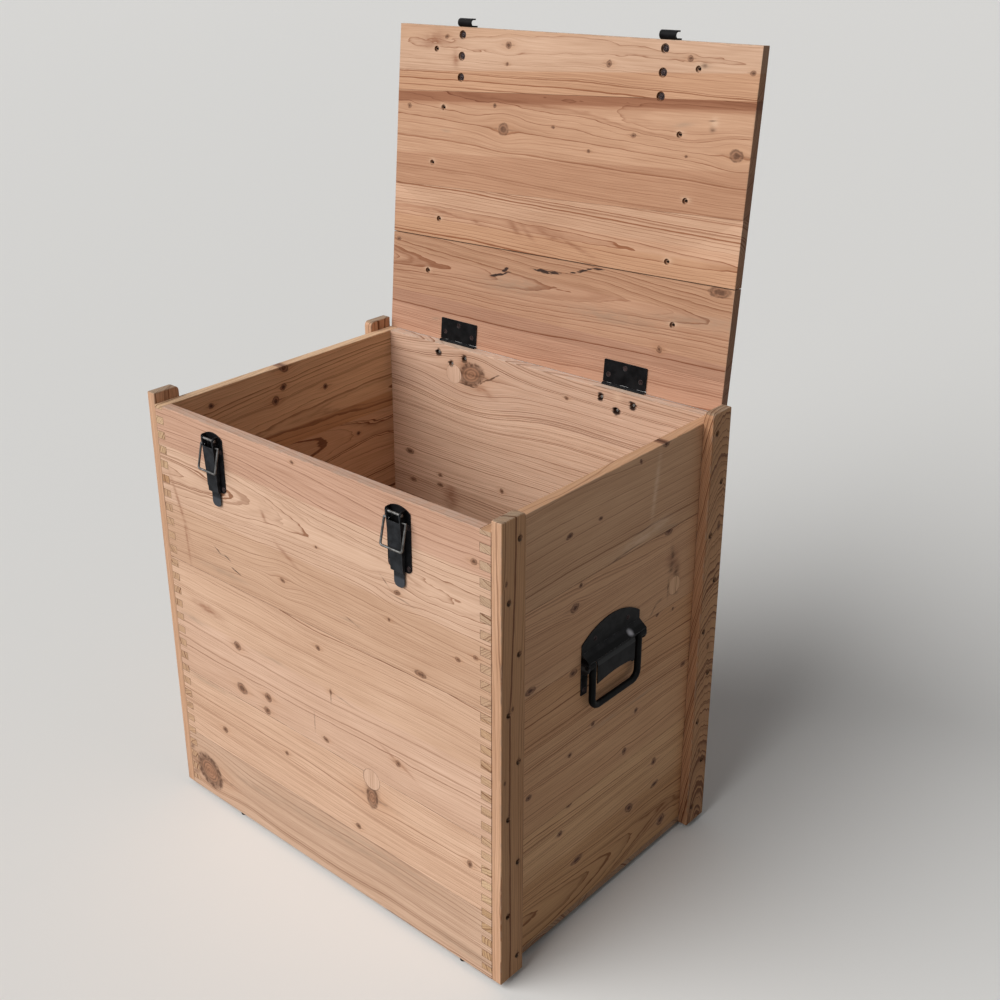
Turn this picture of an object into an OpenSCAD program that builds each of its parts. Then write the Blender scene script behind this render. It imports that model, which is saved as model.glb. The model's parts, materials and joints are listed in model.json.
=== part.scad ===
// Wooden storage chest with finger-jointed walls, a hinged lid, two draw latches
// and two drop handles.  The lid is drawn standing open.
// X runs along the front, +X to the right.  The front faces -Y and +Z is up.

/* [Chest] */
// Width over the side walls
body_w = 600; // [480:1:800]
// Depth from the front face to the back face
body_d = 454; // [360:1:620]
// Height of the front wall
wall_h = 620; // [560:1:720]
// Thickness of the four walls
wall_t = 16; // [15:0.5:20]
// Thickness of the bottom boards
floor_t = 10; // [8:0.5:14]
// Width of the front and the middle bottom board
floor_board_w = 150; // [100:1:160]

/* [Finger joints] */
// Height of one finger
finger_h = 10.85; // [9:0.05:16]
// Height at which the first side wall finger would start
finger_from = 7; // [2:0.5:12]

/* [Glued boards] */
// Width of the bottom board in the front and back walls
front_bottom_board = 99; // [70:1:120]
// Width of the lower board in the front and back walls
front_lower_board = 109; // [70:1:130]
// Width of the upper board in the front and back walls
front_upper_board = 182; // [120:1:200]
// Width of the bottom board in the side walls
side_bottom_board = 180; // [120:1:200]
// Width of the lower board in the side walls
side_lower_board = 200; // [150:1:210]
// Width of the upper board in the side walls
side_upper_board = 115; // [80:1:130]

/* [Corner posts] */
// Width of a corner post along the side wall
post_w = 42; // [38:1:55]
// Thickness of a corner post
post_t = 15; // [14.5:0.5:20]
// Height of a post above the rim
post_rise = 15; // [8:1:20]
// Radius of the rounded corner at a post's top
post_round = 7; // [6:1:20]
// Number of nails in a post
post_nails = 9; // [4:1:9]
// Height of the lowest post nail
post_nail_from = 28; // [20:1:40]
// Distance of the highest post nail under the rim
post_nail_top = 12.8; // [10:0.2:30]

/* [Lid] */
// Thickness of the lid boards
lid_t = 15; // [15:0.5:20]
// Gap between the lid and a corner post
lid_side_gap = 1.5; // [1:0.25:4]
// Gap between the rim and the closed lid
lid_rim_gap = 2.3; // [2.3:0.1:4]
// Distance that the closed lid stands over the front face
lid_overhang = 2; // [0:0.5:3]
// Angle to which the lid is open
lid_open = 95; // [80:1:100]
// Middle width of the lid board at the hinges
lid_hinge_board = 158; // [110:1:180]
// Middle width of the second lid board
lid_second_board = 80; // [60:1:90]
// Middle width of the third lid board
lid_third_board = 139; // [100:1:143]
// Slant of the first joint from the left end to the right end
lid_slant_1 = 12; // [0:1:20]
// Slant of the second joint from the left end to the right end
lid_slant_2 = 24; // [0:1:30]
// Slant of the third joint from the left end to the right end
lid_slant_3 = 30; // [0:1:40]
// Width of the open joint between the first two lid boards
lid_open_joint = 1.2; // [0.5:0.1:2]

/* [Lid battens] */
// Width of a batten
batten_w = 42; // [36:1:45]
// Thickness of a batten
batten_t = 15; // [10:0.5:22]
// Distance from the left side wall's face to the left batten's middle
batten_in_left = 83; // [70:1:84]
// Distance from the right side wall's face to the right batten's middle
batten_in_right = 95; // [75:1:96]
// Distance from the hinge edge of the lid to the battens
batten_from = 64; // [50:1:80]
// Distance from the battens to the front edge of the lid
batten_front_gap = 10; // [4:1:30]
// Number of nails in a batten
batten_nails = 5; // [3:1:5]
// Distance of the first batten nail from the hinge edge
batten_nail_from = 102; // [95:1:108]
// Distance of the last batten nail from the front edge of the lid
batten_nail_to = 32; // [31:0.5:50]

/* [Nails] */
// Diameter of a nail's shank
nail_d = 3; // [2:0.1:4]
// Diameter of a nail's head
nail_head_d = 6; // [5:0.1:8]
// Thickness of a nail's head
nail_head_t = 1.4; // [1:0.1:2]
// Diameter of the sunk hole over a nail
nail_sink_d = 8.4; // [8.2:0.1:10]
// Depth of the sunk hole over a nail
nail_sink = 4; // [2:0.5:5]
// Depth to which a post nail enters the side wall
nail_bite = 13; // [8:0.5:13.5]
// Distance of the outer nails from a batten's or post's outer edge
nail_near = 13; // [10:0.5:15]
// Distance of the inner nails from a batten's or post's outer edge
nail_far = 31; // [26:0.5:32]

/* [Glides] */
// Diameter of a glide
glide_d = 10; // [8:0.5:14]
// Height of a glide
glide_h = 8; // [5:0.5:12]
// Distance of the left glides from the left side wall's face
glide_in_left = 108; // [40:1:150]
// Distance of the right glides from the right side wall's face
glide_in_right = 55; // [40:1:150]

/* [Hinges] */
// Length of a hinge
hinge_l = 70; // [60:1:80]
// Distance from the pin to the far edge of a leaf
hinge_leaf_w = 35; // [33:0.5:45]
// Thickness of a leaf
hinge_leaf_t = 1.8; // [1.5:0.1:2]
// Outer diameter of the barrel
hinge_barrel_d = 5.6; // [5.2:0.1:6]
// Diameter of the hinge pin
hinge_pin_d = 2.8; // [2:0.1:3.2]
// Number of knuckles in the barrel
hinge_knuckles = 5; // [3:2:7]
// Gap between two knuckles
hinge_knuckle_gap = 0.3; // [0.2:0.1:0.6]
// Distance between the two hinges' middles
hinge_spacing = 303.4; // [240:1:320]
// Shift of the pair of hinges from the chest's middle
hinge_shift = -4; // [-10:0.5:10]
// Distance from the pin to the outer pair of leaf holes
hinge_hole_near = 14.5; // [12:0.5:16]
// Distance from the pin to the middle leaf hole
hinge_hole_far = 28; // [24:0.5:28]
// Distance from the hinge's middle to the outer leaf holes
hinge_hole_x = 26.5; // [20:0.5:26.5]

/* [Screws] */
// Diameter of the wood screws
screw_d = 3.6; // [3:0.1:4.5]
// Diameter of the screw heads
screw_head_d = 7; // [6:0.1:7.2]
// Height of a domed screw head
screw_head_h = 1.8; // [1.2:0.1:2.2]
// Length of a wood screw under its head
screw_l = 12; // [8:0.5:12.5]
// Diameter of the sunk holes over the bolt ends of the hinges
bolt_sink_d = 9; // [8:0.5:11]
// Depth of the sunk holes over the bolt ends
bolt_sink = 5; // [4:0.5:6]
// Diameter of the sunk holes over the nuts of the keepers
nut_sink_d = 12.4; // [11.5:0.1:13]
// Width of the keeper nuts across their flats
nut_w = 8; // [7:0.1:8.5]
// Height of the keeper nuts
nut_h = 2.8; // [2:0.1:3.2]

/* [Latches] */
// Distance from the left side wall's face to the left latch's middle
latch_in_left = 124; // [118:1:160]
// Distance from the right side wall's face to the right latch's middle
latch_in_right = 138; // [130:1:160]
// Width of a latch's base plate
latch_base_w = 38; // [38:0.5:44]
// Length of a latch's base plate
latch_base_l = 83; // [80:0.5:90]
// Distance from the rim to the top of the base plate
latch_drop = 9; // [8:0.5:10]
// Thickness of the latch's sheet metal
latch_sheet = 1.2; // [1:0.1:1.4]
// Distance of the lever's pin from the rim
lever_pin_drop = 16.5; // [16:0.5:17]
// Distance of the lever's pin from the front face
lever_pin_out = 7.75; // [7.5:0.25:8]
// Diameter of the lever's pin
lever_pin_d = 3.6; // [3:0.1:3.8]
// Height of the base plate's ears over the lever's pin
ear_up = 5; // [4:0.5:5.5]
// Reach of the base plate's ears under the lever's pin
ear_down = 6.5; // [5:0.5:6.5]
// Width of the lever at its top
lever_w = 22.3; // [20:0.1:23]
// Width of the lever at its lower end
lever_tip_w = 19; // [16:0.5:20]
// Distance from the rim to the lower end of the lever
lever_drop = 92; // [88:1:95]
// Length of the thumb tab below the lever
tab_l = 22; // [16:1:28]
// Width of the thumb tab
tab_w = 17; // [16:0.5:22]
// Diameter of the bail's wire
bail_wire = 3; // [2.6:0.1:3.2]
// Distance from the rim to the bail's pivot
bail_drop = 26; // [25.5:0.5:26.5]
// Distance of the bail's pivot from the front face
bail_out = 6.5; // [6:0.25:6.75]
// Play between the bail's bar and the keeper's trough when the latch is closed
bail_play = 0.5; // [0.3:0.1:1]
// Width of the bail between wire middles
bail_w = 34.6; // [33:0.1:35]
// Radius of the bends beside the bail's bar
bail_bend_r = 3; // [2:0.5:6]
// Angle by which the hanging bail stands out
bail_rest = 13.6; // [10:0.2:18]

/* [Keepers] */
// Width of a keeper
keeper_w = 24.5; // [20:0.5:25]
// Thickness of a keeper
keeper_t = 2; // [1.6:0.1:2.4]
// Length of a keeper's strap on the lid
keeper_strap = 79; // [76:1:88]
// Inner radius of a keeper's trough
keeper_trough_r = 3.8; // [3:0.1:4.2]
// Height of the trough's front lip above its middle
keeper_lip = 4.5; // [3:0.5:6]
// Height of the trough's inner bottom above the lid's underside
keeper_bottom = 4; // [3:0.1:6]
// Distance of the first keeper bolt from the lid's front edge
keeper_bolt_from = 10.5; // [9:0.5:12]
// Spacing of the keeper bolts
keeper_bolt_pitch = 29; // [24:0.5:29]

/* [Handles] */
// Width of a handle's back plate
handle_w = 120; // [116:1:140]
// Distance of the handle's pivot from the front face
handle_y = 227; // [180:1:270]
// Height of the handle's pivot above the chest's bottom
handle_z = 377; // [340:1:420]
// Height of the arched top over the pivot
plate_top = 48; // [44:1:54]
// Radius of the arched top
plate_arch_r = 100; // [90:1:130]
// Length of the lower legs under the pivot
plate_leg = 43; // [38:1:50]
// Width of a lower leg
plate_leg_w = 12; // [10:0.5:14]
// Thickness of the back plate
plate_t = 1.5; // [1.2:0.1:2]
// Radius of the ears that carry the bail
handle_ear_r = 12; // [10.5:0.5:12.5]
// Diameter of the handle's rod
rod_d = 9; // [8:0.1:9.2]
// Diameter of the rod's turned-down ends
rod_end_d = 6; // [5:0.1:7]
// Distance between the middles of the handle's legs
rod_spacing = 96; // [92:0.5:96]
// Distance of the handle's pivot from the side wall
rod_out = 9.5; // [8.5:0.25:10]
// Distance from the pivot to the middle of the grip
grip_drop = 62; // [58:1:75]
// Radius of the bends beside the grip
grip_bend_r = 13; // [10:1:18]
// Width of the bulged apron between the handle's legs
apron_w = 78; // [60:1:79]
// Distance of the apron's face from the side wall
apron_out = 11; // [10:0.25:11.5]
// Distance from the pivot to the apron's lower edge
apron_drop = 31; // [26:1:36]

/* [Wood plugs] */
// Diameter of the plugs in the front and back walls
plug_d = 30; // [20:1:36]
// Diameter of the plug in the right wall
side_plug_d = 26; // [20:1:30]
// Depth of the plugs
plug_depth = 7; // [4:0.5:8]

/* [Fits] */
// Radial clearance of a pin or rod in the hole it turns in
running_fit = 0.05; // [0.02:0.01:0.1]
// Clearance beside parts that swing past each other
swing_gap = 0.3; // [0.2:0.05:0.5]
// Radial clearance of nails, screws and plugs in their holes
hole_gap = 0.05; // [0.02:0.01:0.2]

/* [Hidden] */
$fn = 48;
cut = 1;  // how far a cut reaches past the face that it opens
wood_front = [0.80, 0.62, 0.45];
wood_side = [0.62, 0.45, 0.32];
wood_lid = [0.82, 0.64, 0.48];
wood_light = [0.88, 0.73, 0.55];
black_steel = [0.10, 0.10, 0.11];
bright_steel = [0.70, 0.71, 0.73];

inner_w = body_w - 2 * wall_t;
inner_d = body_d - 2 * wall_t;
finger_pitch = 2 * finger_h;
finger_count = ceil((wall_h - finger_from) / finger_pitch);

barrel_r = hinge_barrel_d / 2;
hinge_back = barrel_r - hinge_leaf_t;           // pin's distance inside the back face
hinge_y = body_d - hinge_back;
hinge_z = wall_h + swing_gap;
lid_lift = lid_rim_gap - swing_gap;             // lid's underside over the hinge pin
lid_edge = -hinge_back;                         // lid's back edge: flush with the back face when closed
lid_l = hinge_y - lid_edge + lid_overhang;
lid_w = body_w - 2 * lid_side_gap;
lid_joint_1 = lid_hinge_board;
lid_joint_2 = lid_joint_1 + lid_second_board;
lid_joint_3 = lid_joint_2 + lid_third_board;
batten_l = lid_l - batten_from - batten_front_gap;
batten_x = [batten_in_left - body_w / 2, body_w / 2 - batten_in_right];
batten_nail_pitch = (lid_l - batten_nail_from - batten_nail_to) / (batten_nails - 1);
post_nail_pitch = (wall_h - post_nail_from - post_nail_top) / (post_nails - 1);
glide_x = [glide_in_left - body_w / 2, body_w / 2 - glide_in_right];
lid_top = lid_lift + lid_t;                     // lid's outer face over the hinge pin

hinge_x = [hinge_shift - hinge_spacing / 2, hinge_shift + hinge_spacing / 2];
latch_x = [latch_in_left - body_w / 2, body_w / 2 - latch_in_right];
knuckle_l = hinge_l / hinge_knuckles;
keeper_mid = keeper_trough_r + keeper_t + lid_overhang + hole_gap;
keeper_trough_z = keeper_bottom + keeper_trough_r;
bail_reach = bail_drop + lid_rim_gap + keeper_bottom + bail_wire / 2 + bail_play;
bail_l = norm([bail_reach, keeper_mid - bail_out]);
ear_in = lever_w / 2 + swing_gap;               // inner face of a base ear
handle_ear_in = handle_w / 2 - plate_t;

// The origin lies under the middle of the box that holds the chest with its lid open.
bail_front = bail_out + bail_l * sin(bail_rest) + bail_wire / 2;
lid_back = hinge_y + (lid_edge + lid_l - batten_front_gap) * -cos(lid_open)
         + (lid_top + batten_t) * sin(lid_open);
front_y = (bail_front - lid_back) / 2;

// ---------------------------------------------------------------- frames

// The chest's own frame: y from the front face, z from the bottom of the wood
module chest_frame() {
  translate([0, front_y, glide_h]) children();
}

// The lid's frame at its hinge pin, turned to the open lid
module lid_frame() {
  chest_frame() translate([0, hinge_y, hinge_z]) rotate([-lid_open, 0, 0]) children();
}

// A latch's frame on the front face at the rim: +Y points out of the wall
module latch_frame(side) {
  chest_frame() translate([latch_x[side], 0, wall_h]) mirror([0, 1, 0]) children();
}

// A handle's frame on a side wall at the bail's pivot: +X points out of the wall
module handle_frame(side) {
  mirror([side == 0 ? 1 : 0, 0, 0]) chest_frame()
    translate([body_w / 2, handle_y, handle_z]) children();
}

// ---------------------------------------------------------------- small shapes

// A rod between two points
module rod(from, to, d) {
  v = to - from;
  translate(from) rotate([0, acos(v[2] / norm(v)), atan2(v[1], v[0])])
    cylinder(h = norm(v), d = d);
}

// A plate in the XY plane with round corners
module rounded_plate(w, l, t, r) {
  linear_extrude(t) {
    translate([-w / 2 + r, 0]) square([w - 2 * r, l]);
    translate([-w / 2, r]) square([w, l - 2 * r]);
    for (x = [-w / 2 + r, w / 2 - r], y = [r, l - r]) translate([x, y]) circle(r);
  }
}

// A domed head that stands on the XY plane
module domed_head(d, h) {
  dome_r = (d * d / 4 + h * h) / (2 * h);
  intersection() {
    translate([0, 0, h - dome_r]) sphere(dome_r);
    cylinder(h = h + cut, d = d);
  }
}

// A nail that hangs from the XY plane: sunk head, shank below
module nail(depth) {
  translate([0, 0, -nail_sink - nail_head_t]) cylinder(h = nail_head_t, d = nail_head_d);
  translate([0, 0, -depth]) cylinder(h = depth - nail_sink, d = nail_d);
}

// The hole that a nail needs
module nail_hole(depth) {
  translate([0, 0, -nail_sink - nail_head_t]) cylinder(h = nail_sink + nail_head_t + cut, d = nail_sink_d);
  translate([0, 0, -depth - hole_gap]) cylinder(h = depth, d = nail_d + 2 * hole_gap);
}

// A hexagonal nut on the XY plane
module nut(w, h, bore) {
  difference() {
    cylinder(h = h, d = w / cos(30), $fn = 6);
    translate([0, 0, -cut]) cylinder(h = h + 2 * cut, d = bore);
  }
}

// ---------------------------------------------------------------- walls

// Lowest and highest point of side wall finger k
function finger_low(k) = max(floor_t, finger_from + k * finger_pitch);
function finger_high(k) = min(wall_h, finger_from + k * finger_pitch + finger_h);

// Front or back wall between two heights, its outer face on y = 0 and the wood behind it
module long_board(low, high) {
  difference() {
    translate([-body_w / 2, 0, low]) cube([body_w, wall_t, high - low]);
    for (k = [0 : finger_count - 1], side = [0, 1])
      if (finger_low(k) < high && finger_high(k) > low)
        mirror([side, 0, 0])
          translate([inner_w / 2, -cut, finger_low(k)])
            cube([wall_t + cut, wall_t + 2 * cut, finger_high(k) - finger_low(k)]);
  }
}

// Side wall between two heights, its outer face on x = body_w / 2
module short_board(low, high) {
  translate([inner_w / 2, wall_t, low]) cube([wall_t, inner_d, high - low]);
  for (k = [0 : finger_count - 1], y = [0, body_d - wall_t - cut]) {
    from = max(low, finger_low(k));
    to = min(high, finger_high(k));
    if (to > from) translate([inner_w / 2, y, from]) cube([wall_t, wall_t + cut, to - from]);
  }
}

// Heights at which the glued boards of the long walls and of the short walls meet
long_rows = [0, front_bottom_board, front_bottom_board + front_lower_board,
             front_bottom_board + front_lower_board + front_upper_board, wall_h];
short_rows = [floor_t, side_bottom_board, side_bottom_board + side_lower_board,
              side_bottom_board + side_lower_board + side_upper_board, wall_h];

// Places of the wood plugs: across the wall, and height above the chest's bottom
front_plug_x = 97;
front_plug_below = 7;      // under the joint of the lower and the upper board
back_plug_shift = 5;       // beside the left hinge's middle
back_plug_drop = 42;       // under the rim
side_plug_in = 88;         // in front of the back face
side_plug_above = 27;      // over the joint of the lower and the upper board
front_plug = [front_plug_x, long_rows[2] - front_plug_below];
back_plug = [hinge_x[0] + back_plug_shift, wall_h - back_plug_drop];
side_plug = [body_d - side_plug_in, short_rows[2] + side_plug_above];

module front_plug_shape(extra) {
  translate([front_plug[0], -cut * extra, front_plug[1]]) rotate([-90, 0, 0])
    cylinder(h = plug_depth + cut * extra, d = plug_d + 2 * hole_gap * extra);
}

module back_plug_shape(extra) {
  translate([back_plug[0], body_d - wall_t - cut * extra, back_plug[1]]) rotate([-90, 0, 0])
    cylinder(h = plug_depth + cut * extra, d = plug_d + 2 * hole_gap * extra);
}

module side_plug_shape(extra) {
  translate([body_w / 2 - plug_depth, side_plug[0], side_plug[1]]) rotate([0, 90, 0])
    cylinder(h = plug_depth + cut * extra, d = side_plug_d + 2 * hole_gap * extra);
}

module front_board(row) {
  color(wood_front) chest_frame() difference() {
    long_board(long_rows[row], long_rows[row + 1]);
    front_plug_shape(1);
    glide_spikes(0, 1);
    latch_screw_shanks(1);
    post_nail_cuts(0);
  }
}

module back_board(row) {
  color(wood_front) chest_frame() difference() {
    translate([0, body_d, 0]) mirror([0, 1, 0]) long_board(long_rows[row], long_rows[row + 1]);
    back_plug_shape(1);
    glide_spikes(1, 1);
    hinge_wall_cuts();
    post_nail_cuts(1);
  }
}

module side_board(side, row) {
  color(wood_side) mirror([1 - side, 0, 0]) chest_frame() difference() {
    short_board(short_rows[row], short_rows[row + 1]);
    if (side == 1) side_plug_shape(1);
    for (back = [0, 1]) post_nail_places(back) nail_hole(post_t + nail_bite);
    handle_screw_shanks(1);
  }
}

module floor_board(place) {
  edges = [wall_t, wall_t + floor_board_w, wall_t + 2 * floor_board_w, body_d - wall_t];
  color(wood_side) chest_frame() translate([-body_w / 2, edges[place], 0])
    cube([body_w, edges[place + 1] - edges[place], floor_t]);
}

module wood_plugs() {
  color(wood_light) chest_frame() {
    front_plug_shape(0);
    side_plug_shape(0);
    difference() {
      back_plug_shape(0);
      hinge_wall_cuts();
    }
  }
}

// ---------------------------------------------------------------- corner posts

// Puts the children on the outer face of a right-hand post, at each nail, with +Z out of the wood
module post_nail_places(back) {
  for (k = [0 : post_nails - 1]) {
    in = k % 2 == 0 ? nail_far : nail_near;
    translate([body_w / 2 + post_t, back == 1 ? body_d - in : in, post_nail_from + k * post_nail_pitch])
      rotate([0, 90, 0]) children();
  }
}

// The holes that the post nails leave in the ends of the front (0) or back (1) wall
module post_nail_cuts(back) {
  for (side = [0, 1]) mirror([side, 0, 0]) post_nail_places(back) nail_hole(post_t + nail_bite);
}

module right_post(back) {
  top = wall_h + post_rise;
  translate([body_w / 2, back == 1 ? body_d : 0, 0]) mirror([0, back, 0]) difference() {
    cube([post_t, post_w, top]);
    difference() {
      translate([-cut, post_w - post_round, top - post_round])
        cube([post_t + 2 * cut, post_round + cut, post_round + cut]);
      translate([-2 * cut, post_w - post_round, top - post_round])
        rotate([0, 90, 0]) cylinder(h = post_t + 4 * cut, r = post_round);
    }
  }
}

module post(side, back) {
  color(wood_side) mirror([1 - side, 0, 0]) chest_frame() difference() {
    right_post(back);
    post_nail_places(back) nail_hole(post_t + nail_bite);
  }
}

module post_nails() {
  color(black_steel) for (side = [0, 1]) mirror([side, 0, 0])
    chest_frame() for (back = [0, 1]) post_nail_places(back) nail(post_t + nail_bite);
}

// ---------------------------------------------------------------- glides

glide_spike_d = 2;
glide_spike_l = 12;
glide_taper = 2;

// The spikes of the glides under the front (0) or back (1) wall
module glide_spikes(back, extra) {
  for (x = glide_x)
    translate([x, back == 1 ? body_d - wall_t / 2 : wall_t / 2, -extra * cut])
      cylinder(h = glide_spike_l + extra * (cut + hole_gap), d = glide_spike_d + 2 * hole_gap * extra);
}

module glides() {
  color(black_steel) chest_frame() for (back = [0, 1]) {
    glide_spikes(back, 0);
    for (x = glide_x)
      translate([x, back == 1 ? body_d - wall_t / 2 : wall_t / 2, -glide_h])
        cylinder(h = glide_h, d1 = glide_d - glide_taper, d2 = glide_d);
  }
}

// ---------------------------------------------------------------- lid

// Outline of the lid boards between two slanted joints; s runs from the hinge edge
module lid_outline(s0, slant0, s1, slant1) {
  x = lid_w / 2;
  polygon([[-x, -lid_edge - s0 + slant0 / 2], [x, -lid_edge - s0 - slant0 / 2],
           [x, -lid_edge - s1 - slant1 / 2], [-x, -lid_edge - s1 + slant1 / 2]]);
}

// Distance of each joint from the hinge edge at mid-width, and its slant
lid_rows = [[0, 0], [lid_joint_1, lid_slant_1], [lid_joint_2, lid_slant_2],
            [lid_joint_3, lid_slant_3], [lid_l, 0]];

module lid_board(row) {
  from = lid_rows[row];
  to = lid_rows[row + 1];
  open_joint = row == 0 ? lid_open_joint : 0;
  color(wood_lid) lid_frame() difference() {
    translate([0, 0, lid_lift]) linear_extrude(lid_t)
      lid_outline(from[0], from[1], to[0] - open_joint, to[1]);
    batten_nail_places() batten_nail_hole();
    hinge_lid_screws_at(1);
    keeper_bolt_cuts();
    hinge_notches();
  }
}

// Notches in the lid's hinge edge that let the hinge barrels through
module hinge_notches() {
  notch = barrel_r + swing_gap / 2;
  for (x = hinge_x) translate([x - hinge_l / 2 - swing_gap, -notch, lid_lift - cut])
    cube([hinge_l + 2 * swing_gap, notch - lid_edge + cut, lid_t + 2 * cut]);
}

module batten(side) {
  color(wood_side) lid_frame() difference() {
    translate([batten_x[side] - batten_w / 2, -lid_edge - batten_from - batten_l, lid_top])
      cube([batten_w, batten_l, batten_t]);
    batten_nail_places() batten_nail_hole();
  }
}

// Puts the children on the battens' outer face at each nail
module batten_nail_places() {
  for (k = [0 : batten_nails - 1], side = [0, 1]) {
    out = batten_w / 2 - (k % 2 == 0 ? nail_near : nail_far);
    translate([batten_x[side] + (side == 0 ? -out : out),
               -lid_edge - batten_nail_from - k * batten_nail_pitch, lid_top + batten_t])
      children();
  }
}

nail_short = 1.5;  // how far a batten nail's tip stays inside the lid
batten_nail_l = batten_t + lid_t - nail_short;

module batten_nail_hole() {
  nail_hole(batten_nail_l);
  translate([0, 0, -batten_t - lid_t - cut]) cylinder(h = cut + nail_sink, d = nail_sink_d);
}

module lid_nails() {
  color(black_steel) lid_frame() batten_nail_places() nail(batten_nail_l);
}

// ---------------------------------------------------------------- hinges

// The knuckles of one leaf: even places on the wall leaf, odd places on the lid leaf
module knuckles(lid_side, d, extra) {
  for (k = [0 : hinge_knuckles - 1]) if ((k % 2 == 1) == lid_side)
    translate([-hinge_l / 2 + k * knuckle_l + hinge_knuckle_gap / 2 - extra, 0, 0])
      rotate([0, 90, 0]) cylinder(h = knuckle_l - hinge_knuckle_gap + 2 * extra, d = d);
}

// The root strips that join a leaf to its own knuckles; the leaf lies on z = low
module knuckle_roots(lid_side, low) {
  for (k = [0 : hinge_knuckles - 1]) if ((k % 2 == 1) == lid_side)
    translate([-hinge_l / 2 + k * knuckle_l + hinge_knuckle_gap / 2, -barrel_r - 2 * swing_gap, low])
      cube([knuckle_l - hinge_knuckle_gap, barrel_r + 2 * swing_gap, hinge_leaf_t]);
}

// Puts the children at a leaf's three holes
module leaf_holes(z) {
  for (x = [-hinge_hole_x, hinge_hole_x]) translate([x, -hinge_hole_near, z]) children();
  translate([0, -hinge_hole_far, z]) children();
}

hinge_corner_r = 1.5;

// A leaf about its pin, reaching to -Y, with its lower face on z = low
module hinge_leaf(lid_side, low) {
  difference() {
    union() {
      knuckles(lid_side, hinge_barrel_d, 0);
      knuckle_roots(lid_side, low);
      translate([0, -hinge_leaf_w, low])
        rounded_plate(hinge_l, hinge_leaf_w - barrel_r - swing_gap, hinge_leaf_t, hinge_corner_r);
    }
    translate([-hinge_l / 2 - cut, 0, 0]) rotate([0, 90, 0])
      cylinder(h = hinge_l + 2 * cut, d = hinge_pin_d + 2 * running_fit);
    children();
  }
}

lid_leaf_low = lid_lift - hinge_leaf_t;

module hinge_lid_leaf(place) {
  color(black_steel) lid_frame() translate([hinge_x[place], 0, 0]) hinge_leaf(true, lid_leaf_low)
    leaf_holes(lid_leaf_low) countersunk_screw(1);
}

// The wall leaf hangs on the back face: its own frame is turned down about the pin
module wall_leaf_frame(place) {
  chest_frame() translate([hinge_x[place], hinge_y, hinge_z]) rotate([90, 0, 0]) children();
}

module hinge_wall_leaf(place) {
  color(black_steel) wall_leaf_frame(place) mirror([0, 0, 1]) hinge_leaf(false, barrel_r - hinge_leaf_t)
    leaf_holes(-wall_t) cylinder(h = 2 * wall_t, d = screw_d + 2 * hole_gap);
}

module hinge_pin(place) {
  color(bright_steel) chest_frame() translate([hinge_x[place] - hinge_l / 2, hinge_y, hinge_z])
    rotate([0, 90, 0]) cylinder(h = hinge_l, d = hinge_pin_d);
}

// A countersunk screw that enters the wood upwards from z = 0; extra = 1 gives its hole
module countersunk_screw(extra) {
  head_d = screw_head_d + 2 * hole_gap * extra;
  shank_d = screw_d + 2 * hole_gap * extra;
  sunk = 0.1;
  translate([0, 0, sunk - extra * (sunk + cut)])
    cylinder(h = hole_gap + extra * (sunk + cut), d = head_d);
  translate([0, 0, sunk + hole_gap])
    cylinder(h = hinge_leaf_t - sunk - hole_gap, d1 = head_d, d2 = shank_d);
  translate([0, 0, hinge_leaf_t - hole_gap])
    cylinder(h = screw_l + extra * hole_gap, d = shank_d);
}

module hinge_lid_screws_at(extra) {
  for (x = hinge_x) translate([x, 0, 0]) leaf_holes(lid_leaf_low) countersunk_screw(extra);
}

module hinge_lid_screws() {
  color(black_steel) lid_frame() hinge_lid_screws_at(0);
}

// Cuts for the hinges in the back wall: bolt holes, sunk bolt ends and the barrel's notch
module hinge_wall_cuts() {
  for (x = hinge_x) {
    translate([x, hinge_y, hinge_z]) rotate([90, 0, 0]) leaf_holes(0) {
      translate([0, 0, -wall_t]) cylinder(h = 2 * wall_t, d = screw_d + 2 * hole_gap);
      translate([0, 0, wall_t - hinge_back - bolt_sink]) cylinder(h = bolt_sink + cut, d = bolt_sink_d);
    }
    translate([x - hinge_l / 2 - swing_gap, hinge_y - barrel_r - swing_gap, wall_h - barrel_r])
      cube([hinge_l + 2 * swing_gap, barrel_r + hinge_back + swing_gap + cut, barrel_r + cut]);
  }
}

bolt_end = 2.5;  // how far a bolt's end stands in its sunk hole

module hinge_wall_bolts() {
  bolt_l = wall_t + hinge_leaf_t - bolt_sink + bolt_end;
  color(bright_steel) for (place = [0, 1]) wall_leaf_frame(place) leaf_holes(-barrel_r) {
    cylinder(h = bolt_l, d = screw_d);
    mirror([0, 0, 1]) domed_head(screw_head_d, screw_head_h);
  }
}

// ---------------------------------------------------------------- keepers

// Side profile of a keeper: x runs forward from the lid's front edge, y up from its underside
module keeper_profile() {
  middle = keeper_mid - lid_overhang;
  outer_r = keeper_trough_r + keeper_t;
  top = lid_t + keeper_t;
  difference() {
    translate([middle, keeper_trough_z]) circle(outer_r);
    translate([middle, keeper_trough_z]) circle(keeper_trough_r);
    translate([middle - outer_r - cut, keeper_trough_z]) square([2 * (outer_r + cut), outer_r + cut]);
  }
  translate([middle - outer_r, keeper_trough_z]) square([keeper_t, top - keeper_trough_z]);
  translate([middle + keeper_trough_r, keeper_trough_z]) square([keeper_t, keeper_lip]);
  translate([-keeper_strap, lid_t]) square([keeper_strap + middle - keeper_trough_r, keeper_t]);
}

// Puts the children at a keeper's bolts on the lid's outer face
module keeper_bolt_places(place) {
  for (k = [0 : 2])
    translate([latch_x[place], -lid_edge - lid_l + keeper_bolt_from + k * keeper_bolt_pitch, lid_top])
      children();
}

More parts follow.
